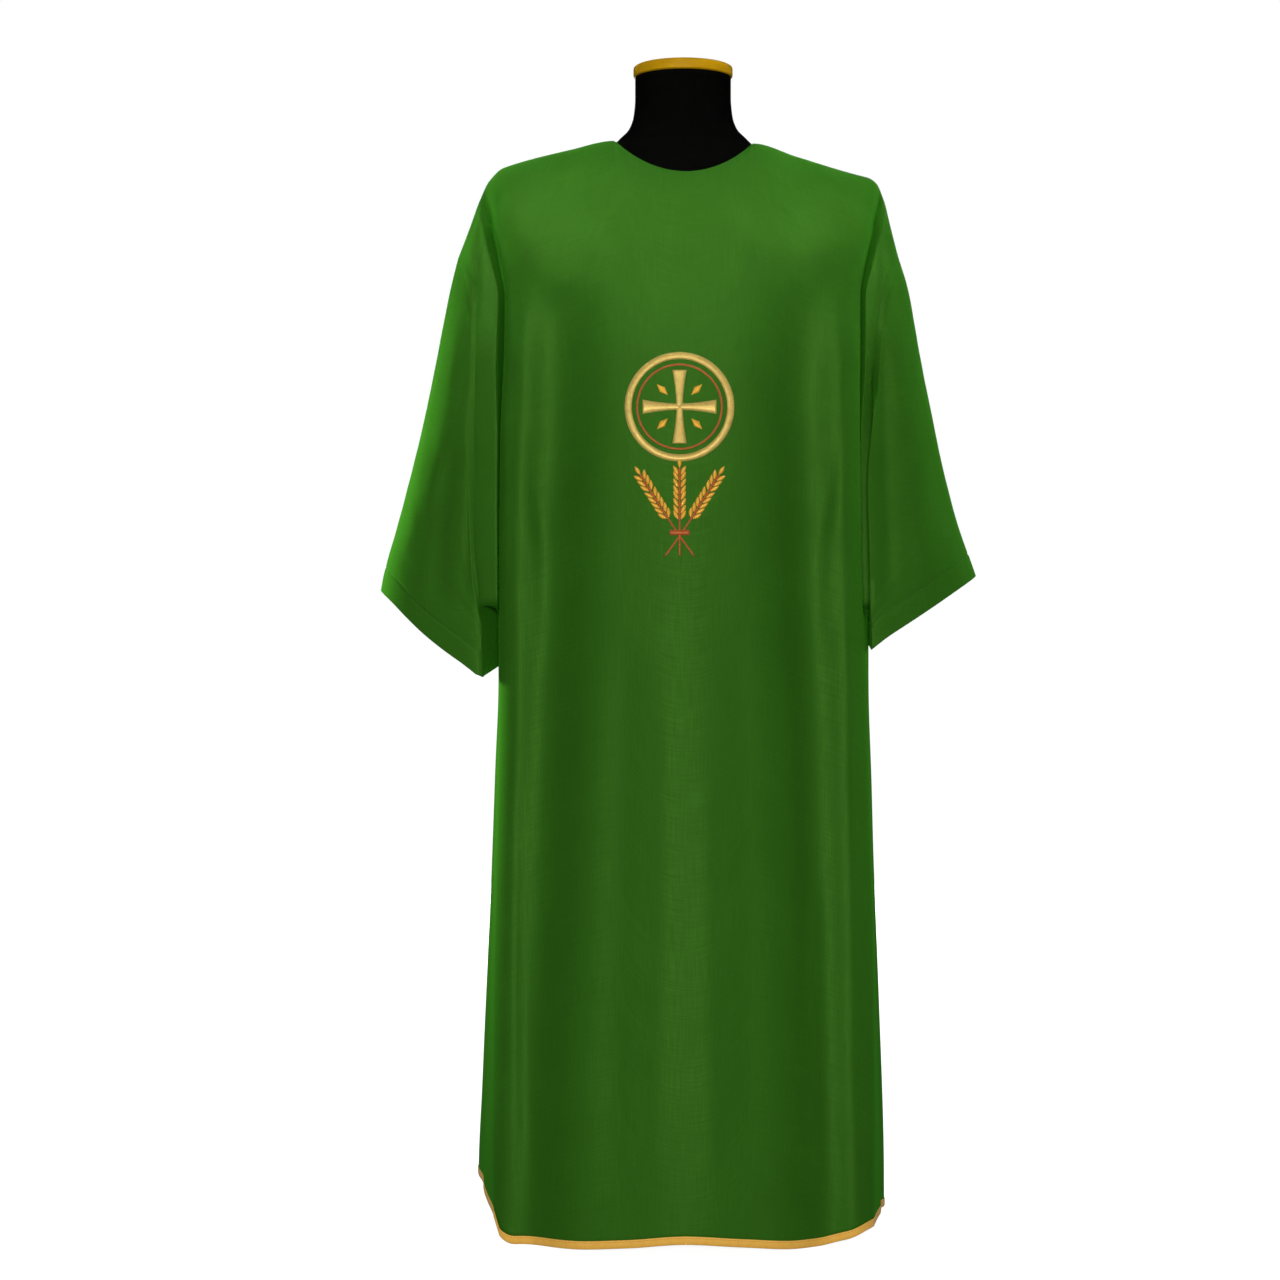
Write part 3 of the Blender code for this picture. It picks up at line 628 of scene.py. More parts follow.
def panel_point(side, face, share, row, foot=0.0):
    """A point of a front or back panel; foot is how far above the hem line it ends."""
    if row <= SHOULDER_ROWS:
        return shoulder_point(side, face, share, row)
    row -= SHOULDER_ROWS
    plan = body_plan if share <= 1 else pouch_plan
    if row <= UPPER_ROWS:
        height = mix(JOIN, pouch_height(share), row / UPPER_ROWS)
        return point(side, face, plan(side, face, share, height), height)
    row -= UPPER_ROWS
    below = body_plan if share <= 1 else wall_plan
    if row <= POUCH_ROWS:
        height = pouch_row_height(share, row)
        fold = plan(side, face, share, pouch_height(share) if share > 1 else height)
        wall = below(side, face, share, height)
        turned = [mix(a, b, row / POUCH_ROWS) for a, b in zip(fold, wall)]
        return point(side, face, turned, height)
    row -= POUCH_ROWS
    top = pouch_row_height(share, POUCH_ROWS)
    bottom = hem_at[face](SIGN[side] * share) + foot
    height = mix(top, bottom, row / LOWER_ROWS)
    return point(side, face, below(side, face, share, height), height)


def hem_point(side, face, share, high):
    """A point of a panel this high above its bottom edge."""
    height = hem_at[face](SIGN[side] * share) + high
    plan = body_plan if share <= 1 else wall_plan
    return point(side, face, plan(side, face, share, height), height)


# ---------------------------------------------------------------- the sleeves' form
def corner_end(side, face):
    """Height at which the sleeve's corner meets the cuff."""
    return cuff_at[side][face](tuck_at[side, face]["corner_x"](CORNER_END))


def corner_height(side, face, row):
    """Height of the sleeve's corner in each row."""
    if row <= UPPER_ROWS:
        return mix(JOIN, pouch_height(2.0), row / UPPER_ROWS)
    down = (row - UPPER_ROWS) / (SLEEVE_ROWS - UPPER_ROWS)
    return mix(pouch_height(2.0), corner_end(side, face), down)


def sleeve_seam_point(side, face, row):
    """The inner edge of half a sleeve: the armhole seam, then the underarm seam."""
    if row <= ARMHOLE_ROWS:
        seam = panel_point(side, face, 2.0, row + SHOULDER_ROWS)
        return seam + Vector((SIGN[side] * SEAM, 0, 0))
    down = (row - ARMHOLE_ROWS) / (SLEEVE_ROWS - ARMHOLE_ROWS)
    height = mix(UNDERARM, CUFF_AT_UNDERARM[side], down)
    x = side_at[side](height) - UNDERARM_PRESS * math.sin(down * math.pi / 2)
    return Vector((SIGN[side] * (x + SEAM), SIGN[face] * SEAM / 2, height - SEAM))


def sleeve_point(side, face, place, row):
    """A point of half a sleeve; place runs from 0 at the top fold to HALF_SLEEVE at the seam."""
    if row < 1:
        seam = panel_point(side, face, 2.0, place) + Vector((SIGN[side] * SEAM, 0, 0))
        return seam.lerp(sleeve_point(side, face, place, 1), row)
    tuck = tuck_at[side, face]
    if place >= FRONT_PLACES:
        height = corner_height(side, face, row)
        x = SIGN[side] * tuck["corner_x"](height)
        corner = Vector((x, SIGN[face] * tuck["corner_depth"](height), height))
        along = (place - FRONT_PLACES) / (HALF_SLEEVE - FRONT_PLACES)
        return corner.lerp(sleeve_seam_point(side, face, row), along)
    turn = place / FRONT_PLACES * math.pi / 2
    inner_end = corner_end(side, face)
    outer_end = getattr(CUFF[side][-1], face)
    edge_x = mix(tuck["corner_x"](inner_end), top_at[side]["x"](outer_end), math.cos(turn))
    start = panel_point(side, face, 2.0, place).z
    end = cuff_at[side][face](edge_x)
    even = row / SLEEVE_ROWS
    like_corner = (JOIN - corner_height(side, face, row)) / (JOIN - inner_end)
    height = mix(start, end, mix(even, like_corner, (place / FRONT_PLACES) ** SLEEVE_BEND))
    out = math.cos(turn)
    x = mix(tuck["corner_x"](height), top_at[side]["x"](height), out)
    rounded = math.sin(turn) ** SLEEVE_ROUND - SLEEVE_SLANT * out * (1 - out)
    depth = tuck["corner_depth"](height) * rounded
    return Vector((SIGN[side] * x, SIGN[face] * depth, height))


# ---------------------------------------------------------------- working cloth in a mesh
def spread(stops):
    """Values through (from, to, steps) stretches, without repeating where two meet."""
    values = [stops[0][0]]
    for low, high, steps in stops:
        values += [mix(low, high, (i + 1) / steps) for i in range(steps)]
    return values


def refresh(bm):
    """Brings a sheet's normals and the numbering of its vertices up to date."""
    bm.normal_update()
    bm.verts.ensure_lookup_table()


def lay_sheet(grid, outward):
    """A bmesh grid laid through rows of points, with a UV map in metres of cloth."""
    rows = len(grid)
    across = len(grid[0])
    bm = bmesh.new()
    bmesh.ops.create_grid(bm, x_segments=across - 1, y_segments=rows - 1, size=1)
    for vert, spot in zip(bm.verts, chain.from_iterable(grid)):
        vert.co = spot * MM
    refresh(bm)
    if bm.verts[rows // 2 * across + across // 2].normal.dot(outward) < 0:
        bmesh.ops.reverse_faces(bm, faces=bm.faces[:])
    measure_uv(bm, grid)
    refresh(bm)
    return bm


def measure_uv(bm, grid):
    """Gives each corner of the sheet its place on the flat cloth, measured along the sheet."""
    middle = len(grid[0]) // 2
    down = [0.0] * len(grid[0])
    flat = []
    for above, row in zip(grid[:1] + grid, grid):
        down = [run + (spot - before).length for run, before, spot in zip(down, above, row)]
        steps = [(after - before).length for before, after in zip(row, row[1:])]
        left = list(accumulate(reversed(steps[:middle]), initial=0.0))
        right = list(accumulate(steps[middle:], initial=0.0))
        across = [-run for run in reversed(left[1:])] + right
        flat += [(x * MM, -y * MM) for x, y in zip(across, down)]
    layer = bm.loops.layers.uv.new("cloth")
    for face in bm.faces:
        for loop in face.loops:
            loop[layer].uv = flat[loop.vert.index]


def soften(bm, verts, passes):
    """Relaxes inner vertices, so that folded corners turn as cloth does."""
    inner = [vert for vert in verts if not vert.is_boundary]
    axes = {"use_axis_x": True, "use_axis_y": True, "use_axis_z": True}
    for _ in range(passes):
        bmesh.ops.smooth_vert(bm, verts=inner, factor=0.5, **axes)
    refresh(bm)


def shift(bm, moves):
    """Moves every vertex of a sheet, each by its own vector."""
    for vert, move in zip(bm.verts, moves):
        vert.co += move
    refresh(bm)


def open_edges(bm, wanted):
    """A sheet's open edges between the vertices whose numbers are wanted."""
    return [
        edge
        for edge in bm.edges
        if edge.is_boundary and all(wanted(vert.index) for vert in edge.verts)
    ]


def turn_under(bm, edges, steps):
    """Folds a boundary under. Each step is (inwards from the face, back along it), in mm."""
    verts = {vert for edge in edges for vert in edge.verts}
    inward = {}
    back = {}
    for vert in verts:
        inward[vert] = -vert.normal
        into = Vector()
        for edge in vert.link_edges:
            if edge not in edges:
                into += edge.other_vert(vert).co - vert.co
        into -= into.dot(vert.normal) * vert.normal
        back[vert] = into.normalized()
    start = {vert: vert.co.copy() for vert in verts}
    line = {vert: vert for vert in verts}
    for depth, along in steps:
        made = bmesh.ops.extrude_edge_only(bm, edges=edges)
        new = [item for item in made["geom"] if isinstance(item, bmesh.types.BMVert)]
        by_place = {tuple(vert.co): vert for vert in new}
        line = {root: by_place[tuple(vert.co)] for root, vert in line.items()}
        for root, vert in line.items():
            vert.co = start[root] + (inward[root] * depth + back[root] * along) * MM
        edges = [item for item in made["geom"] if isinstance(item, bmesh.types.BMEdge)]
    bm.normal_update()


def sew(name, spots, finish):
    """A run of single stitches along spots of (place, outward normal) in mm, sunk half way in."""
    bm = bmesh.new()
    lengths = [0.0]
    for (before, _), (after, _) in zip(spots, spots[1:]):
        lengths.append(lengths[-1] + (after - before).length)
    along = STITCH_LONG
    while along < lengths[-1]:
        i = bisect_right(lengths, along) - 1
        share = (along - lengths[i]) / (lengths[i + 1] - lengths[i])
        place = spots[i][0].lerp(spots[i + 1][0], share)
        outward = spots[i][1].lerp(spots[i + 1][1], share).normalized()
        ahead = (spots[i + 1][0] - spots[i][0]).normalized()
        aside = outward.cross(ahead).normalized()
        frame_of = Matrix(
            [
                (*[a * STITCH_LONG / 2, b * STITCH_WIDE / 2, c * STITCH_HIGH], d)
                for a, b, c, d in zip(ahead, aside, ahead.cross(aside), place)
            ]
            + [(0, 0, 0, 1 / MM)]
        )
        bmesh.ops.create_uvsphere(
            bm, u_segments=6, v_segments=4, radius=1, matrix=frame_of * MM
        )
        along += STITCH_LONG + STITCH_GAP
    bmesh.ops.recalc_face_normals(bm, faces=bm.faces[:])
    return add_piece(name, bm, finish)


def add_object(name, data):
    """An object in the scene with this mesh, lamp or camera."""
    made = bpy.data.objects.new(name, data)
    bpy.context.scene.collection.objects.link(made)
    return made


def add_piece(name, bm, finish, wall=0.0, sharp=60.0):
    """Makes a bmesh into a finished object that rides on the body."""
    mesh = bpy.data.meshes.new(name)
    bm.to_mesh(mesh)
    bm.free()
    mesh.materials.append(finish)
    mesh.shade_smooth()
    mesh.set_sharp_from_angle(angle=math.radians(sharp))
    piece = add_object(name, mesh)
    if wall:
        solid = piece.modifiers.new("cloth thickness", "SOLIDIFY")
        solid.thickness = wall * MM
        solid.offset = -1.0
    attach(piece, "root")
    return piece


# ---------------------------------------------------------------- front and back panels
def half_shares():
    """Columns of half a panel, from the middle to the armhole."""
    main = spread([(0.0, 0.3, 16), (0.3, NECK_SHARE, 6), (NECK_SHARE, 0.96, 28)])
    main += [0.973, 0.987]
    fold = spread([(1.0, 1.96, 46)])
    rolled = [2 - short for short, _ in reversed(SEAM_ROLL)]
    return main + fold + rolled


def whole_panel():
    """(side, share) of every column from the wearer's right to the left."""
    half = half_shares()
    right = [("right", share) for share in reversed(half)]
    return right + [("left", share) for share in half[1:]]


def panel_rows():
    """Rows of a panel, from the neckline and shoulder seam to the hem."""
    over = spread([(0.0, 0.42, 7), (0.42, SHOULDER_ROWS, 32)])
    beside = spread([(SHOULDER_ROWS, SHOULDER_ROWS + UPPER_ROWS, 46)])
    end = SHOULDER_ROWS + ARMHOLE_ROWS
    turned = spread([(SHOULDER_ROWS + UPPER_ROWS, end, 9)])
    skirt = spread([(end, end + LOWER_ROWS, 64)])
    return over + beside[1:] + turned[1:] + skirt[1:]


def panel_push(side, face, share, place):
    """How far creases, folds and ripples move the cloth out at a point of a panel."""
    kept = 1 - eased((share - 1) / CREASE_FADE)
    pushed = crease_depth(CREASES[face], place.x, place.z) * kept
    pushed += fold_depth(SIDE_FOLDS[side], place.y, place.z) * (1 - kept)
    return pushed + ripple(place.x, place.z, SIGN[face] * (PANEL_RIPPLE + share))


def seam_dip(share):
    """How far the cloth rolls in beside a seam at share 2."""
    short = 2 - share
    for at, dip in SEAM_ROLL:
        if short <= at + 1e-9:
            return dip
    return 0.0


def panel(face, finish):
    """A front or back panel, from its shoulder seams and neckline down into its hem binding."""
    places = whole_panel()
    rows = panel_rows()
    across = len(places)
    outward = Vector((0, SIGN[face], 0))
    grid = [
        [panel_point(side, face, share, row, BINDING_INSIDE) for side, share in places]
        for row in rows
    ]
    bm = lay_sheet(grid, outward)
    shares = [share for _, share in places] * len(rows)
    sides = [vert for vert, share in zip(bm.verts, shares) if share > CORNER_FROM]
    soften(bm, [vert for vert in sides if vert.co.z < CORNER_SOFT * MM], CORNER_PASSES)
    turn = [vert for vert, share in zip(bm.verts, shares) if abs(share - 1) < TURN_SOFT]
    soften(bm, turn, TURN_PASSES)
    soften(bm, [vert for vert in turn if vert.co.z < UNDERARM * MM], SIDE_PASSES)
    moves = []
    for vert, (row, (side, share)) in zip(bm.verts, product(rows, places)):
        place = vert.co / MM
        pushed = panel_push(side, face, share, place)
        at_arm = crease_depth(ARM_CREASES[side, face], place.x, place.z)
        at_arm *= eased((share - 1) / CREASE_FADE)
        if vert.co.z < UNDERARM * MM:
            pushed -= seam_dip(share)
        if share > NECK_SHARE:
            pushed -= seam_dip(2 - SHOULDER_ROLL * row)
        moves.append((vert.normal * pushed + outward * at_arm) * MM)
    shift(bm, moves)
    neck = open_edges(bm, lambda i: i < across and places[i][1] <= NECK_SHARE)
    turn_under(bm, neck, NECK_FOLD)
    return add_piece(face + "_panel", bm, finish, CLOTH)


# ---------------------------------------------------------------- the hem's binding
BINDING_INSIDE = 2.5  # the panel's edge lies this far above the binding's fold
BINDING_CLOTH = 0.3
# Section of the binding, up the outside and down the inside: (height, how far out of the panel).
BINDING_SECTION = (
    (9.2, 0.12),
    (9.1, 0.5),
    (8.4, 0.72),
    (7.4, 0.6),
    (5.0, 0.74),
    (2.4, 0.72),
    (0.9, 0.5),
    (0.1, -0.05),
    (-0.1, -0.45),
    (0.1, -0.85),
    (0.9, -1.35),
    (2.4, -1.6),
    (5.0, -1.6),
    (7.4, -1.45),
    (8.4, -1.55),
    (9.1, -1.3),
    (9.2, -0.9),
)
BINDING_SEWN = 3  # the row of the section that the stitches run along
LAP = {"front": (-1.03, -0.955), "back": (0.4, 0.46)}  # where the binding's end laps over
LAP_LIFT = 0.5


def binding(face, finish, thread):
    """The narrow satin band folded over the bottom edge of a panel, and its row of stitches."""
    low, high = LAP[face]
    places = whole_panel()
    outs = []
    # The next columns are measured on a column's own side; at the middle they coincide, and the
    # band closes flat on the panel there.
    for before, (side, _), after in zip(places[:1] + places, places, places[1:] + places[-1:]):
        tangent = hem_point(side, face, after[1], 0.0) - hem_point(side, face, before[1], 0.0)
        out = Vector((tangent.y, -tangent.x, 0)).normalized()
        outs.append(out if out.dot(Vector((SIGN[side], SIGN[face], 0))) > 0 else -out)
    grid = []
    for high_up, out_by in BINDING_SECTION:
        row = []
        for (side, share), out in zip(places, outs):
            base = hem_point(side, face, share, high_up)
            lift = LAP_LIFT if low < SIGN[side] * share < high and out_by > 0 else 0.0
            pushed = panel_push(side, face, share, base) - seam_dip(share)
            row.append(base + out * (out_by + lift + pushed))
        grid.append(row)
    name = "hem_binding_" + face
    bm = lay_sheet(grid, Vector((0, 0, -1)))
    ribbon = add_piece(name + "_ribbon", bm, finish, BINDING_CLOTH)
    sewn = list(zip(grid[BINDING_SEWN], outs))
    return ribbon, sew(name + "_stitching", sewn, thread)


# ---------------------------------------------------------------- the sleeves
# The groove that the cuff's stitches press in, by distance from the cuff.
HEM_GROOVE = (
    (0.0, 0.0), (24.6, 0.0), (25.6, 0.25), (26.4, 0.75), (27.0, 0.95), (27.6, 0.7), (28.6, 0.2),
    (40.0, 0.0),
)
INNER_FROM = 0.6  # places before the corner at which the creases begin to die away
INNER_OVER = 1.6  # and over how many places they do
TOP_OVER = 0.5  # places beside the top fold over which they begin


def sleeve_rows():
    """Rows of a sleeve, from the armhole seam to the cuff."""
    body = spread([(0.3, SLEEVE_ROWS - 1.6, 48), (SLEEVE_ROWS - 1.6, SLEEVE_ROWS, 26)])
    return [0.0, 0.05, 0.14] + body


def sleeve_places():
    """(face, place) of every column, from the front underarm seam over the top to the back."""
    half = spread([(0.0, FRONT_PLACES, 26), (FRONT_PLACES, HALF_SLEEVE - 0.2, 18)])
    half += [HALF_SLEEVE - 0.1, HALF_SLEEVE - 0.03, HALF_SLEEVE]
    front = [("front", place) for place in reversed(half)]
    return front + [("back", place) for place in half[1:]]


def sleeve_push(side, face, place, row, spot):
    """How far creases and ripples move the cloth out at a point of a sleeve."""
    kept = 1 - eased((place - FRONT_PLACES + INNER_FROM) / INNER_OVER)
    kept *= eased(place / TOP_OVER) * eased(row / SEAM_FADE)
    pushed = crease_depth(CREASES[side, face], abs(spot.x), spot.z) * kept
    return pushed + ripple(spot.x, spot.z, SIGN[face] * (SLEEVE_RIPPLE + row))


def stitch_line(bm, across, from_cuff):
    """The cuff's line of stitches: (place in mm, outward normal) in every column."""
    line = []
    for c in range(across):
        i = max(i for i in range(c, len(from_cuff), across) if from_cuff[i] >= SLEEVE_HEM)
        upper = bm.verts[i]
        lower = bm.verts[i + across]
        share = (from_cuff[i] - SLEEVE_HEM) / (from_cuff[i] - from_cuff[i + across])
        place = upper.co.lerp(lower.co, share) / MM
        line.append((place, upper.normal.lerp(lower.normal, share)))
    return line


def sleeve(side, finish, thread):
    """A sleeve with its turned and stitched hem."""
    places = sleeve_places()
    rows = sleeve_rows()
    across = len(places)
    grid = [[sleeve_point(side, face, place, row) for face, place in places] for row in rows]
    bm = lay_sheet(grid, Vector((SIGN[side], 0, 0)))
    soften(bm, bm.verts[:], SLEEVE_PASSES)
    from_cuff = [0.0] * len(bm.verts)
    for i in reversed(range(len(from_cuff) - across)):
        step = bm.verts[i].co - bm.verts[i + across].co
        from_cuff[i] = from_cuff[i + across] + step.length / MM
    groove = smooth(HEM_GROOVE)
    moves = []
    for vert, up, (row, (face, place)) in zip(bm.verts, from_cuff, product(rows, places)):
        spot = vert.co / MM
        at_arm = crease_depth(ARM_CREASES[side, face], spot.x, spot.z)
        pushed = sleeve_push(side, face, place, row, spot) - groove(up)
        pushed -= seam_dip(2 - ARMHOLE_ROLL * (HALF_SLEEVE - place))
        moves.append((vert.normal * pushed + Vector((0, SIGN[face] * at_arm, 0))) * MM)
    shift(bm, moves)
    sewn = stitch_line(bm, across, from_cuff)
    last = len(from_cuff) - across
    turn_under(bm, open_edges(bm, lambda i: i >= last), CUFF_FOLD)
    cloth = add_piece("sleeve_" + side + "_cloth", bm, finish, CLOTH)
    return cloth, sew("sleeve_" + side + "_stitching", sewn, thread)


# ---------------------------------------------------------------- the embroidery
# A plain cross in a ring, over a small sheaf of three ears of wheat, in satin stitch.
# Places on the chest are (x, height).
CREST = Vector((-6.0, 930.0))  # centre of the ring
RING_RADIUS = 57.0
RING_WIDE = 8.5
CORD_RADIUS = 47.0
CORD_WIDE = 2.6
RING_STEPS = 96
CROSS_REACH = 41.0
CROSS_WAIST = 7.5
CROSS_WIDE = 17.0
CROSS_FLARE = 1.8  # exponent with which an arm widens to its end
CROSS_STEPS = 12
LOZENGE_OUT = 27.0
LOZENGE_LONG = 17.0
LOZENGE_WIDE = 8.0
LOZENGE_TIP = 0.3  # width of its two points
LOZENGE_STEPS = 8
SATIN_HIGH = 1.15  # padding under the wide satin stitches
CORD_HIGH = 0.8
BAND_ACROSS = 6
BAND_SUNK = 0.15  # how far a band's edges lie in the cloth
BAND_DOME = (2.4, 0.6)  # exponents of a band's rounded section
BACKING = 0.25

# Stems of the sheaf: where each one starts, is tied and ends, and how long its ear is.
EAR_FOOT = 764.0
TIE_HEIGHT = 790.0
Stem = namedtuple("Stem", "foot_x tied_x tip_x tip_z ear")
STEMS = (
    Stem(10.0, -8.5, -52.0, 858.0, 58.0),
    Stem(-22.0, -3.5, 40.0, 858.0, 58.0),
    Stem(-6.0, -6.0, -6.0, 866.0, 60.0),
)
STEM_WIDE = 2.4
STEM_STEPS = 24
TIE_ENDS = (-17.0, 5.0)
TIE_WIDE = 6.5
TIE_HIGH = 1.4
TIE_STEPS = 8
GRAIN_LONG = 11.0
GRAIN_WIDE = 5.0
GRAIN_TIP = 0.5  # least width of a grain
GRAIN_HIGH = 0.9
GRAIN_STEP = 7.2
GRAIN_TOP = 4.0  # the first grain starts this far below the tip
GRAIN_LEAN = 0.5  # radians that a grain leans out from the stem
GRAIN_ASIDE = 1.5
GRAIN_SHAPE = (0.06, 0.9)  # start and length of the half wave that a grain's width follows
GRAIN_STEPS = 6
EAR_STEPS = 80


def on_front(x, z, lift):
    """A point on the front panel's finished surface, lifted off it."""
    side = "left" if x > 0 else "right"

    def surface(at_x, at_z):
        share = abs(at_x) / body_at[side](at_z)
        spot = point(side, "front", body_plan(side, "front", share, at_z), at_z)
        spot.x = at_x
        return spot + Vector((0, -panel_push(side, "front", share, spot), 0))

    spot = surface(x, z)
    across = surface(x + 1, z) - spot
    up = surface(x, z + 1) - spot
    return spot + across.cross(up).normalized() * lift


def satin_band(bm, line, widths, high, closed):
    """Adds a domed band of stitches along a line of (x, height), with its UV map along the run."""
    layer = bm.loops.layers.uv["cloth"]
    count = len(line)
    made = bmesh.ops.create_grid(bm, x_segments=BAND_ACROSS, y_segments=count - 1, size=1)
    verts = sorted(made["verts"], key=lambda vert: (round(vert.co.y, 5), vert.co.x))
    sharpness, roundness = BAND_DOME
    run = 0.0
    flat = {}
    for r, (spot, wide) in enumerate(zip(line, widths)):
        before = line[(r - 1) % (count - 1)] if closed else line[max(r - 1, 0)]
        after = line[(r + 1) % (count - 1)] if closed else line[min(r + 1, count - 1)]
        ahead = (after - before).normalized()
        sideways = Vector((ahead.y, -ahead.x))
        if r:
            run += (line[r] - line[r - 1]).length
        for c in range(BAND_ACROSS + 1):
            off = 2 * c / BAND_ACROSS - 1
            place = spot + sideways * off * wide / 2
            dome = high * (1 - abs(off) ** sharpness) ** roundness if abs(off) < 1 else 0.0
            vert = verts[r * (BAND_ACROSS + 1) + c]
            vert.co = on_front(place.x, place.y, dome - BAND_SUNK) * MM
            flat[vert] = (run * MM, off * wide / 2 * MM)
    for face in {face for vert in verts for face in vert.link_faces}:
        for loop in face.loops:
            loop[layer].uv = flat[loop.vert]
    if closed:
        bmesh.ops.remove_doubles(bm, verts=verts, dist=1e-6)


def stitched(name, bands, finish):
    """One embroidery colour: every band of it, closed at the back by its own backing."""
    bm = bmesh.new()
    bm.loops.layers.uv.new("cloth")
    for line, widths, high, closed in bands:
        satin_band(bm, line, widths, high, closed)
    bm.normal_update()
    wrong = [face for face in bm.faces if face.normal.y > 0]
    bmesh.ops.reverse_faces(bm, faces=wrong)
    return add_piece(name, bm, finish, BACKING)


def heading(angle):
    """The direction at an angle from the level, in the plane of the chest."""
    return Vector((math.cos(angle), math.sin(angle)))


def straight(start, end, steps):
    """A straight line of points."""
    return [start.lerp(end, i / steps) for i in range(steps + 1)]


def ring(radius, wide, high):
    """A closed band round the crest."""
    line = [CREST + heading(math.tau * i / RING_STEPS) * radius for i in range(RING_STEPS + 1)]
    return line, [wide] * len(line), high, True


def cross_arms():
    """Four arms that flare from the waist to the ends."""
    shares = [i / CROSS_STEPS for i in range(CROSS_STEPS + 1)]
    widths = [mix(CROSS_WAIST, CROSS_WIDE, share**CROSS_FLARE) for share in shares]
    ends = [CREST + heading(turn * math.pi / 2) * CROSS_REACH for turn in range(4)]
    return [(straight(CREST, end, CROSS_STEPS), widths, SATIN_HIGH, False) for end in ends]


def lozenges():
    """Four pointed lozenges between the arms of the cross."""
    across = [abs(2 * i / LOZENGE_STEPS - 1) for i in range(LOZENGE_STEPS + 1)]
    widths = [LOZENGE_WIDE * (1 - off) + LOZENGE_TIP for off in across]
    bands = []
    for turn in range(4):
        ahead = heading(math.pi / 4 + turn * math.pi / 2)
        start = CREST + ahead * (LOZENGE_OUT - LOZENGE_LONG / 2)
        line = straight(start, start + ahead * LOZENGE_LONG, LOZENGE_STEPS)
        bands.append((line, widths, CORD_HIGH, False))
    return bands


def stem_line(stem, steps):
    """A stem's curve from its foot through the tie to the tip of its ear."""
    knots = [(EAR_FOOT, stem.foot_x), (TIE_HEIGHT, stem.tied_x), (stem.tip_z, stem.tip_x)]
    across = smooth(knots)
    heights = [mix(EAR_FOOT, stem.tip_z, i / steps) for i in range(steps + 1)]
    return [Vector((across(height), height)) for height in heights]


def sheaf():
    """The three stems and the cord that ties them."""
    lines = [stem_line(stem, STEM_STEPS) for stem in STEMS]
    bands = [(line, [STEM_WIDE] * len(line), CORD_HIGH, False) for line in lines]
    tie = straight(*(Vector((x, TIE_HEIGHT)) for x in TIE_ENDS), TIE_STEPS)
    return bands + [(tie, [TIE_WIDE] * len(tie), TIE_HIGH, False)]


def grains(stem):
    """The grains of one ear: pairs leaning out from the stem, and one at the tip."""
    bands = []
    line = stem_line(stem, EAR_STEPS)
    tip = line[-1]
    shares = [i / GRAIN_STEPS for i in range(GRAIN_STEPS + 1)]
    start, run = GRAIN_SHAPE
    swell = [math.sin(math.pi * (start + run * share)) for share in shares]
    widths = [max(GRAIN_WIDE * part, GRAIN_TIP) for part in swell]
    for i in range(int(stem.ear / GRAIN_STEP) + 1):
        below = i * GRAIN_STEP + GRAIN_TOP
        at = min(range(len(line)), key=lambda j: abs((tip - line[j]).length - below))
        ahead = (line[min(at + 2, EAR_STEPS)] - line[at - 2]).normalized()
        for way in (-1, 1) if i else (0,):
            start = line[at] + Vector((-ahead.y, ahead.x)) * GRAIN_ASIDE * way
            end = start + Matrix.Rotation(GRAIN_LEAN * way, 2) @ ahead * GRAIN_LONG
            bands.append((straight(start, end, GRAIN_STEPS), widths, GRAIN_HIGH, False))
    return bands


def embroidery():
    """The three colours of thread on the chest."""
    gold = satin("gold_rayon_thread", "F6DC7C", "D0A446", 1.1, 0.34, 0.35)
    copper = satin("copper_rayon_thread", "D26E1A", "A64812", 1.1, 0.38, 0.2)
    amber = satin("amber_rayon_thread", "FFC63B", "EDA229", 1.1, 0.36, 0.3)
    rim = ring(RING_RADIUS, RING_WIDE, SATIN_HIGH)
    cord = ring(CORD_RADIUS, CORD_WIDE, CORD_HIGH)
    ears = [band for stem in STEMS for band in grains(stem)]
    return [
        stitched("embroidery_gold", [rim] + cross_arms(), gold),
        stitched("embroidery_copper", [cord] + sheaf(), copper),
        stitched("embroidery_amber", lozenges() + ears, amber),
    ]


# ---------------------------------------------------------------- form and stand
def turned(name, profile, finish, slot):
    """A solid of revolution about the Z axis."""
    bm = bmesh.new()
    verts = [bm.verts.new((radius * MM, 0, height * MM)) for radius, height in profile]
    edges = [bm.edges.new(pair) for pair in zip(verts, verts[1:])]
    bmesh.ops.spin(
        bm,
        geom=verts + edges,
        cent=(0, 0, 0),
        axis=(0, 0, 1),
        angle=math.tau,
        steps=TURNED_STEPS,
        use_merge=True,
    )
    bmesh.ops.remove_doubles(bm, verts=bm.verts[:], dist=1e-5)
    bmesh.ops.recalc_face_normals(bm, faces=bm.faces[:])
    return add_piece(name, bm, finish, sharp=40.0)


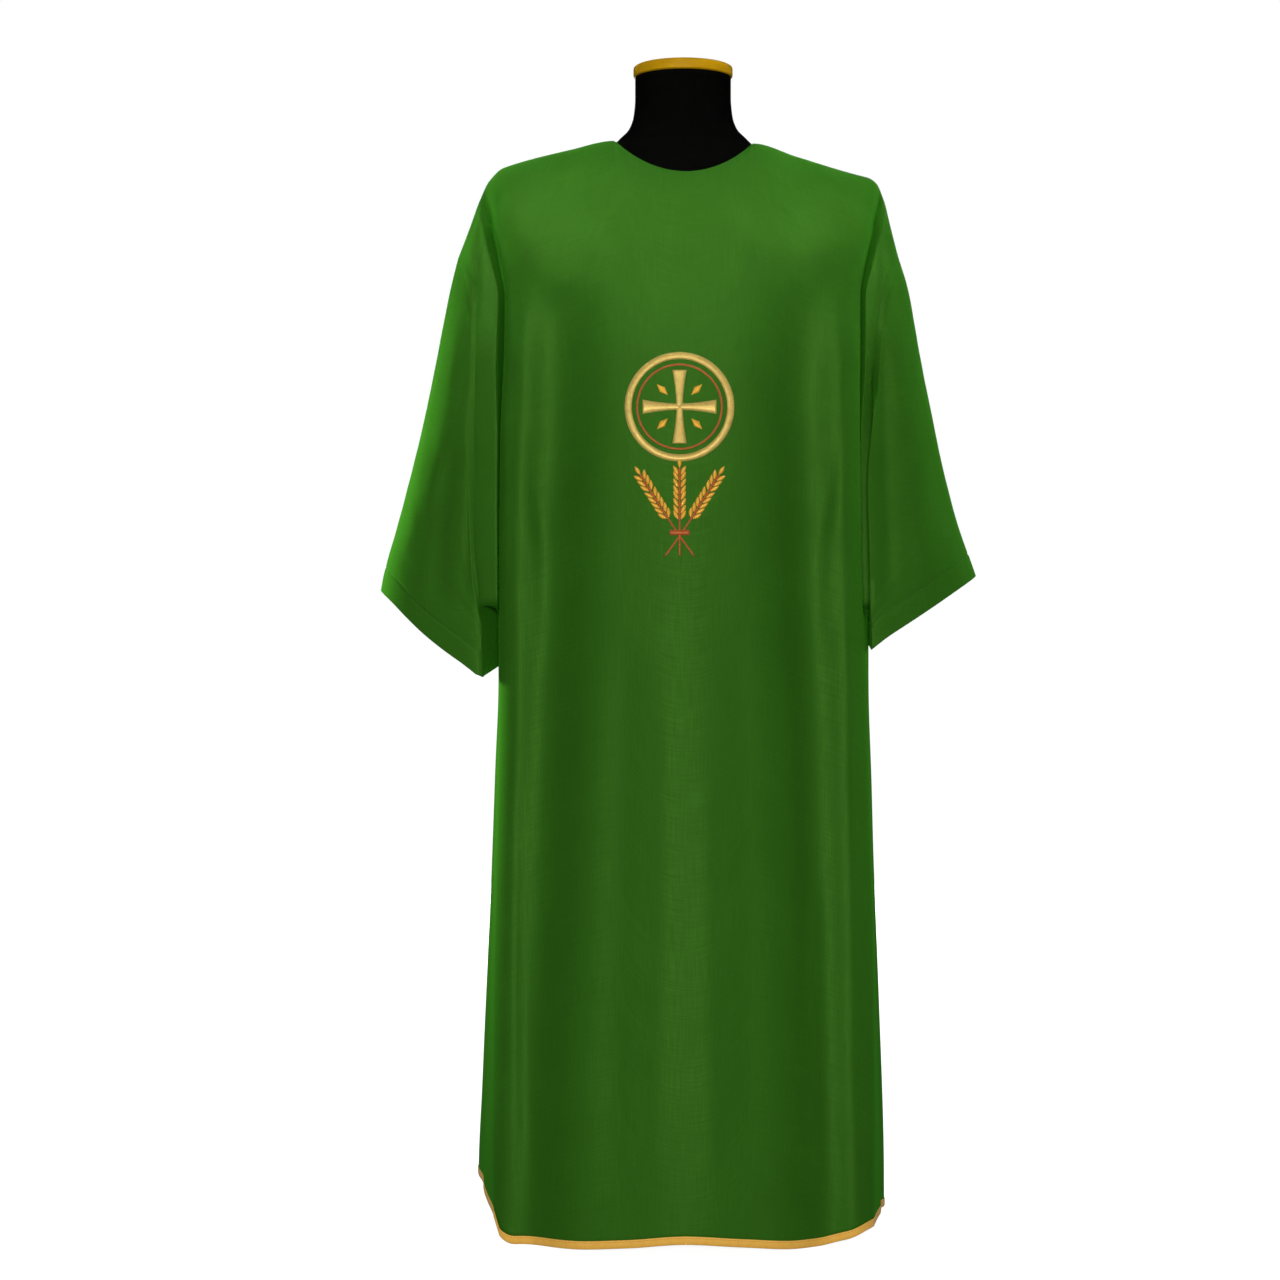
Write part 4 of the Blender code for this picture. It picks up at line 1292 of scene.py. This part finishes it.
def torso(finish):
    """The dress form's torso and neck, lofted through its rings."""
    bm = bmesh.new()
    loops = []
    form_at = columns(FORM)
    for height in spread(FORM_ROWS):
        verts = bmesh.ops.create_circle(bm, segments=FORM_SIDES, radius=1)["verts"]
        power = 2 / form_at["power"](height)
        for i, vert in enumerate(verts):
            angle = math.tau * i / FORM_SIDES
            across = math.sin(angle)
            along = math.cos(angle)
            depth = form_at["front" if along > 0 else "back"](height)
            x = form_at["half"](height) * math.copysign(abs(across) ** power, across)
            y = -depth * math.copysign(abs(along) ** power, along)
            vert.co = Vector((x, y, height)) * MM
        loops.append(list({edge for vert in verts for edge in vert.link_edges}))
    for upper, lower in zip(loops, loops[1:]):
        bmesh.ops.bridge_loops(bm, edges=upper + lower)
    bmesh.ops.holes_fill(bm, edges=loops[0] + loops[-1], sides=FORM_SIDES)
    bmesh.ops.recalc_face_normals(bm, faces=bm.faces[:])
    return add_piece("dress_form", bm, finish, sharp=40.0)


# ---------------------------------------------------------------- finishes
def linear(hex_colour):
    """An sRGB hex colour as the linear RGBA that shaders take."""
    made = []
    for i in (0, 2, 4):
        part = int(hex_colour[i : i + 2], 16) / 255
        made.append(part / 12.92 if part <= 0.04045 else ((part + 0.055) / 1.055) ** 2.4)
    return (*made, 1.0)


def add_node(tree, kind, inputs=None, out=0, **settings):
    """Adds a node, sets it, gives its inputs values or links, and returns one of its outputs."""
    node = tree.nodes.new("ShaderNode" + kind)
    for name, value in settings.items():
        setattr(node, name, value)
    for key, value in (inputs or {}).items():
        if isinstance(value, bpy.types.NodeSocket):
            tree.links.new(value, node.inputs[key])
        else:
            node.inputs[key].default_value = value
    return node.outputs[out]


def new_material(name, coordinates, constants):
    """A material with its shader's constants set: (material, its tree, its pattern's place)."""
    made = bpy.data.materials.new(name)
    made.use_nodes = True
    tree = made.node_tree
    for key, value in constants.items():
        tree.nodes["Principled BSDF"].inputs[key].default_value = value
    return made, tree, add_node(tree, "TexCoord", out=coordinates)


def between(tree, pattern, dark, light):
    """A colour that a pattern takes from dark to light."""
    shades = {"Factor": pattern, "A": dark, "B": light}
    return add_node(tree, "Mix", shades, "Result", data_type="RGBA")


def dress(tree, colour, relief=None, strength=0.0, distance=0.0003, rough=None):
    """Gives the shader its colour, a bump from a relief (distance in metres), and roughness."""
    links = {"Base Color": colour}
    if relief:
        bump = {"Height": relief, "Strength": strength, "Distance": distance}
        links["Normal"] = add_node(tree, "Bump", bump)
    if rough:
        links["Roughness"] = rough
    for key, value in links.items():
        tree.links.new(value, tree.nodes["Principled BSDF"].inputs[key])


def vestment_cloth():
    """Polyester vestment cloth, piece dyed: a fine matt weave with a faint bloom at grazing
    angles, and threads that vary a little in tone along their length."""
    constants = {
        "Sheen Weight": 0.5,
        "Sheen Roughness": 0.5,
        "Sheen Tint": linear("3E9C1C"),
        "Specular IOR Level": 0.47,
        "Specular Tint": linear("A8FF6C"),
    }
    made, tree, place = new_material("polyester_vestment_cloth", "UV", constants)
    # The real weave has 0.35 mm threads; they are drawn 1.5 mm wide, so that they show.
    runs = {}
    for i, scale in enumerate(((660, 26, 1), (26, 660, 1))):
        drawn = add_node(tree, "Mapping", {"Vector": place, "Scale": scale})
        runs[i] = add_node(tree, "TexNoise", {"Vector": drawn, "Scale": 1.0, "Detail": 3.0})
    threads = add_node(tree, "Math", runs, operation="ADD")
    clouds = add_node(tree, "TexNoise", {"Vector": place, "Scale": 14.0, "Detail": 2.0})
    widened = {"Value": threads, "From Min": 0.7, "From Max": 1.3}
    tone = add_node(tree, "MapRange", widened)
    colour = between(tree, tone, linear("26580F"), linear("2F6517"))
    colour = between(tree, clouds, colour, linear("25560F"))
    rough = add_node(tree, "MapRange", {**widened, "To Min": 0.62, "To Max": 0.54})
    dress(tree, colour, threads, 0.25, 0.0004, rough)
    return made


WAVE_BANDS = 20  # the wave texture has this many radians to a unit of its scale


def satin(name, light, dark, thread, roughness, metal):
    """Rayon satin or embroidery thread: long floats, each a thread (in mm) wide, whose colour is
    painted light along each thread and dark between, a painted highlight and shade of their round,
    with tone that varies at random."""
    constants = {
        "Roughness": roughness,
        "Metallic": metal,
        "Sheen Weight": 0.2,
        "Specular IOR Level": 0.5,
        "Anisotropic": 0.5,
    }
    made, tree, place = new_material(name, "UV", constants)
    waves = {"Vector": place, "Scale": math.tau / (WAVE_BANDS * thread * MM)}
    waves.update({"Distortion": 0.6, "Detail": 1.0, "Detail Scale": 2.0})
    lines = add_node(tree, "TexWave", waves, "Fac", bands_direction="X")
    uneven = add_node(tree, "TexNoise", {"Vector": place, "Scale": 160.0, "Detail": 2.0})
    both = add_node(tree, "Math", {0: lines, 1: uneven}, operation="MULTIPLY")
    # Painted highlight and shade: each thread's float is lighter along its middle and darker at its
    # edges, mixed with random tone.
    painted_thread_shade_and_tone = add_node(tree, "Math", {0: both, 1: 2.0}, operation="MULTIPLY", use_clamp=True)
    dress(tree, between(tree, painted_thread_shade_and_tone, linear(dark), linear(light)), lines, 0.5)
    return made


def sewing_thread(name, light, dark):
    """Spun polyester sewing thread: dull, with the tone wandering along the run."""
    constants = {"Roughness": 0.6, "Sheen Weight": 0.1}
    made, tree, place = new_material(name, "Object", constants)
    uneven = add_node(tree, "TexNoise", {"Vector": place, "Scale": 900.0, "Detail": 2.0})
    dress(tree, between(tree, uneven, linear(dark), linear(light)))
    return made


def jersey():
    """Cotton jersey stretched over the form: black, dull, with fine vertical ribs of stitches."""
    constants = {"Roughness": 0.85, "Specular IOR Level": 0.02}
    made, tree, place = new_material("black_cotton_jersey", "Object", constants)
    # Stitches of 0.8 mm are drawn 2 mm wide, so that they show.
    ribs = add_node(tree, "Mapping", {"Vector": place, "Scale": (500, 500, 60)})
    knit = add_node(tree, "TexNoise", {"Vector": ribs, "Scale": 1.0, "Detail": 2.0})
    dress(tree, between(tree, knit, linear("010101"), linear("070706")), knit, 0.3, 0.0004)
    return made


def lacquer():
    """Lacquered turned wood: ochre, satin, with faint rings left by turning."""
    constants = {"Roughness": 0.5, "Specular IOR Level": 0.1}
    made, tree, place = new_material("ochre_lacquered_wood", "Object", constants)
    turning = {"Vector": place, "Scale": 90.0, "Distortion": 1.5, "Detail": 2.0}
    rings = add_node(tree, "TexWave", turning, "Fac", wave_type="RINGS", rings_direction="Z")
    grain = add_node(tree, "TexNoise", {"Vector": place, "Scale": 60.0, "Detail": 4.0})
    both = add_node(tree, "Math", {0: rings, 1: grain}, operation="MULTIPLY")
    dress(tree, between(tree, both, linear("B08400"), linear("BE9004")), both, 0.1)
    return made


def powder_coat():
    """Powder-coated steel: near black with a fine orange-peel skin."""
    made, tree, place = new_material("black_powder_coated_steel", "Object", {"Roughness": 0.42})
    peel = add_node(tree, "TexNoise", {"Vector": place, "Scale": 700.0, "Detail": 2.0})
    dust = add_node(tree, "TexNoise", {"Vector": place, "Scale": 30.0, "Detail": 5.0})
    dress(tree, between(tree, dust, linear("161616"), linear("242423")), peel, 0.25)
    return made


def studio_white():
    """The floor's paint: matt white with a faint unevenness, and a glow of its own."""
    constants = {
        "Roughness": 0.9,
        "Specular IOR Level": 0.0,
        "Emission Color": (1, 1, 1, 1),
        "Emission Strength": FLOOR_GLOW,
    }
    made, tree, place = new_material("white_studio_floor", "Object", constants)
    worn = add_node(tree, "TexNoise", {"Vector": place, "Scale": 2.0, "Detail": 3.0})
    dress(tree, between(tree, worn, linear("CCCCCC"), linear("D1D1D1")))
    return made


# ---------------------------------------------------------------- camera, floor and lights
CAMERA = Vector((-0.0499, -3.2, 0.671))
VIEW_ACROSS = 1.4848  # metres seen across the garment's own plane
SENSOR = 36.0
FLOOR_SIZE = 60.0
FLOOR_GLOW = 0.9  # keeps the far floor as white as the room
BACKDROP_WHITE = 1.0
FILL = 0.22  # how strongly the white room lights the garment

# Soft boxes, with their watts and the angle of their spread. One that isn't glossy makes no
# highlight.
Lamp = namedtuple("Lamp", "name place aim size watts spread glossy")
LAMPS = (
    Lamp("left_strip", (-1.9, 0.85, 1.25), (-0.3, 0, 0.75), (0.5, 0.5), 4.2, 30, False),
    Lamp("front_key", (-0.1, -4.4, 1.0), (0, 0, 0.7), (0.7, 0.7), 104, 180, True),
    Lamp("upper_left", (-1.2, -2.4, 3.1), (-0.15, 0, 1.16), (0.3, 0.3), 0.21, 7, True),
    Lamp("upper_right", (1.2, -2.4, 3.1), (0.13, 0, 1.15), (0.3, 0.3), 0.19, 7, True),
    Lamp("right_soft", (2.3, 0.6, 1.7), (0.3, 0, 0.8), (0.8, 0.8), 1.9, 30, False),
    Lamp("top_soft", (0.0, 0.0, 2.9), (0, 0, 1.1), (1.3, 1.3), 9, 180, False),
    Lamp("back_soft", (-0.1, 4.4, 1.0), (0, 0, 0.7), (0.9, 0.9), 90, 180, True),
)


def place_camera():
    """Camera level with the chest's foot, seen from 3.2 m."""
    lens = bpy.data.cameras.new("camera")
    lens.sensor_width = SENSOR
    lens.lens = SENSOR * -CAMERA.y / VIEW_ACROSS
    camera = add_object("camera", lens)
    camera.location = CAMERA
    camera.rotation_euler = (math.radians(90), 0, 0)
    bpy.context.scene.camera = camera


def floor():
    """A plain white studio floor that runs out of sight."""
    bm = bmesh.new()
    bmesh.ops.create_grid(bm, x_segments=1, y_segments=1, size=FLOOR_SIZE)
    mesh = bpy.data.meshes.new("studio_floor")
    bm.to_mesh(mesh)
    bm.free()
    mesh.materials.append(studio_white())
    plane = add_object("studio_floor", mesh)
    plane.visible_diffuse = False  # the floor's glow is for the eye, and doesn't light the cloth
    plane.visible_glossy = False


def lights():
    """Large soft boxes round the garment, and a white room that fills the shadows."""
    for lamp in LAMPS:
        data = bpy.data.lights.new(lamp.name, "AREA")
        data.shape = "RECTANGLE"
        data.size, data.size_y = lamp.size
        data.energy = lamp.watts
        data.spread = math.radians(lamp.spread)
        box = add_object(lamp.name, data)
        box.location = lamp.place
        box.visible_glossy = lamp.glossy
        aim = Vector(lamp.aim) - Vector(lamp.place)
        box.rotation_euler = aim.to_track_quat("-Z", "Y").to_euler()
    world = bpy.data.worlds.new("white_room")
    world.use_nodes = True
    tree = world.node_tree
    seen = add_node(tree, "LightPath", out="Is Camera Ray")
    shown = {"Value": seen, "To Min": FILL, "To Max": BACKDROP_WHITE}
    back = tree.nodes["Background"].inputs
    back["Color"].default_value = (1, 1, 1, 1)
    tree.links.new(add_node(tree, "MapRange", shown), back["Strength"])
    world.cycles_visibility.glossy = False
    bpy.context.scene.world = world
    bpy.context.scene.view_settings.view_transform = "Standard"


# ---------------------------------------------------------------- the whole object
def declare(cloth, node):
    """Hides the imported node that a cloth piece stands for."""
    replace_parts(cloth, node)


def build():
    """The form and its stand, then the garment, from the panels to the sleeves."""
    green = vestment_cloth()
    gold = satin("gold_satin_binding", "FFCC56", "F4AC3C", 1.2, 0.45, 0.1)
    green_thread = sewing_thread("green_sewing_thread", "285C10", "163C08")
    gold_thread = sewing_thread("gold_sewing_thread", "E8AE48", "B07C28")

    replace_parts(torso(jersey()), "form")
    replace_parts(turned("neck_cap_turned", CAP_PROFILE, lacquer(), "ochre_cap"), "neck_cap")
    steel = powder_coat()
    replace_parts(turned("stand_tube", POLE_PROFILE, steel, "painted_steel"), "stand_pole")
    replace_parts(turned("stand_plate", BASE_PROFILE, steel, "painted_steel"), "stand_base")

    for face in ("front", "back"):
        cloth = panel(face, green)
        threads = embroidery() if face == "front" else []
        declare(cloth, face)
        ribbon, stitching = binding(face, gold, gold_thread)
        node = "hem_binding_" + face
        declare(ribbon, node)
    for side in ("right", "left"):
        cloth, stitching = sleeve(side, green, green_thread)
        declare(cloth, "sleeve_" + side)


build()
place_camera()
floor()
lights()
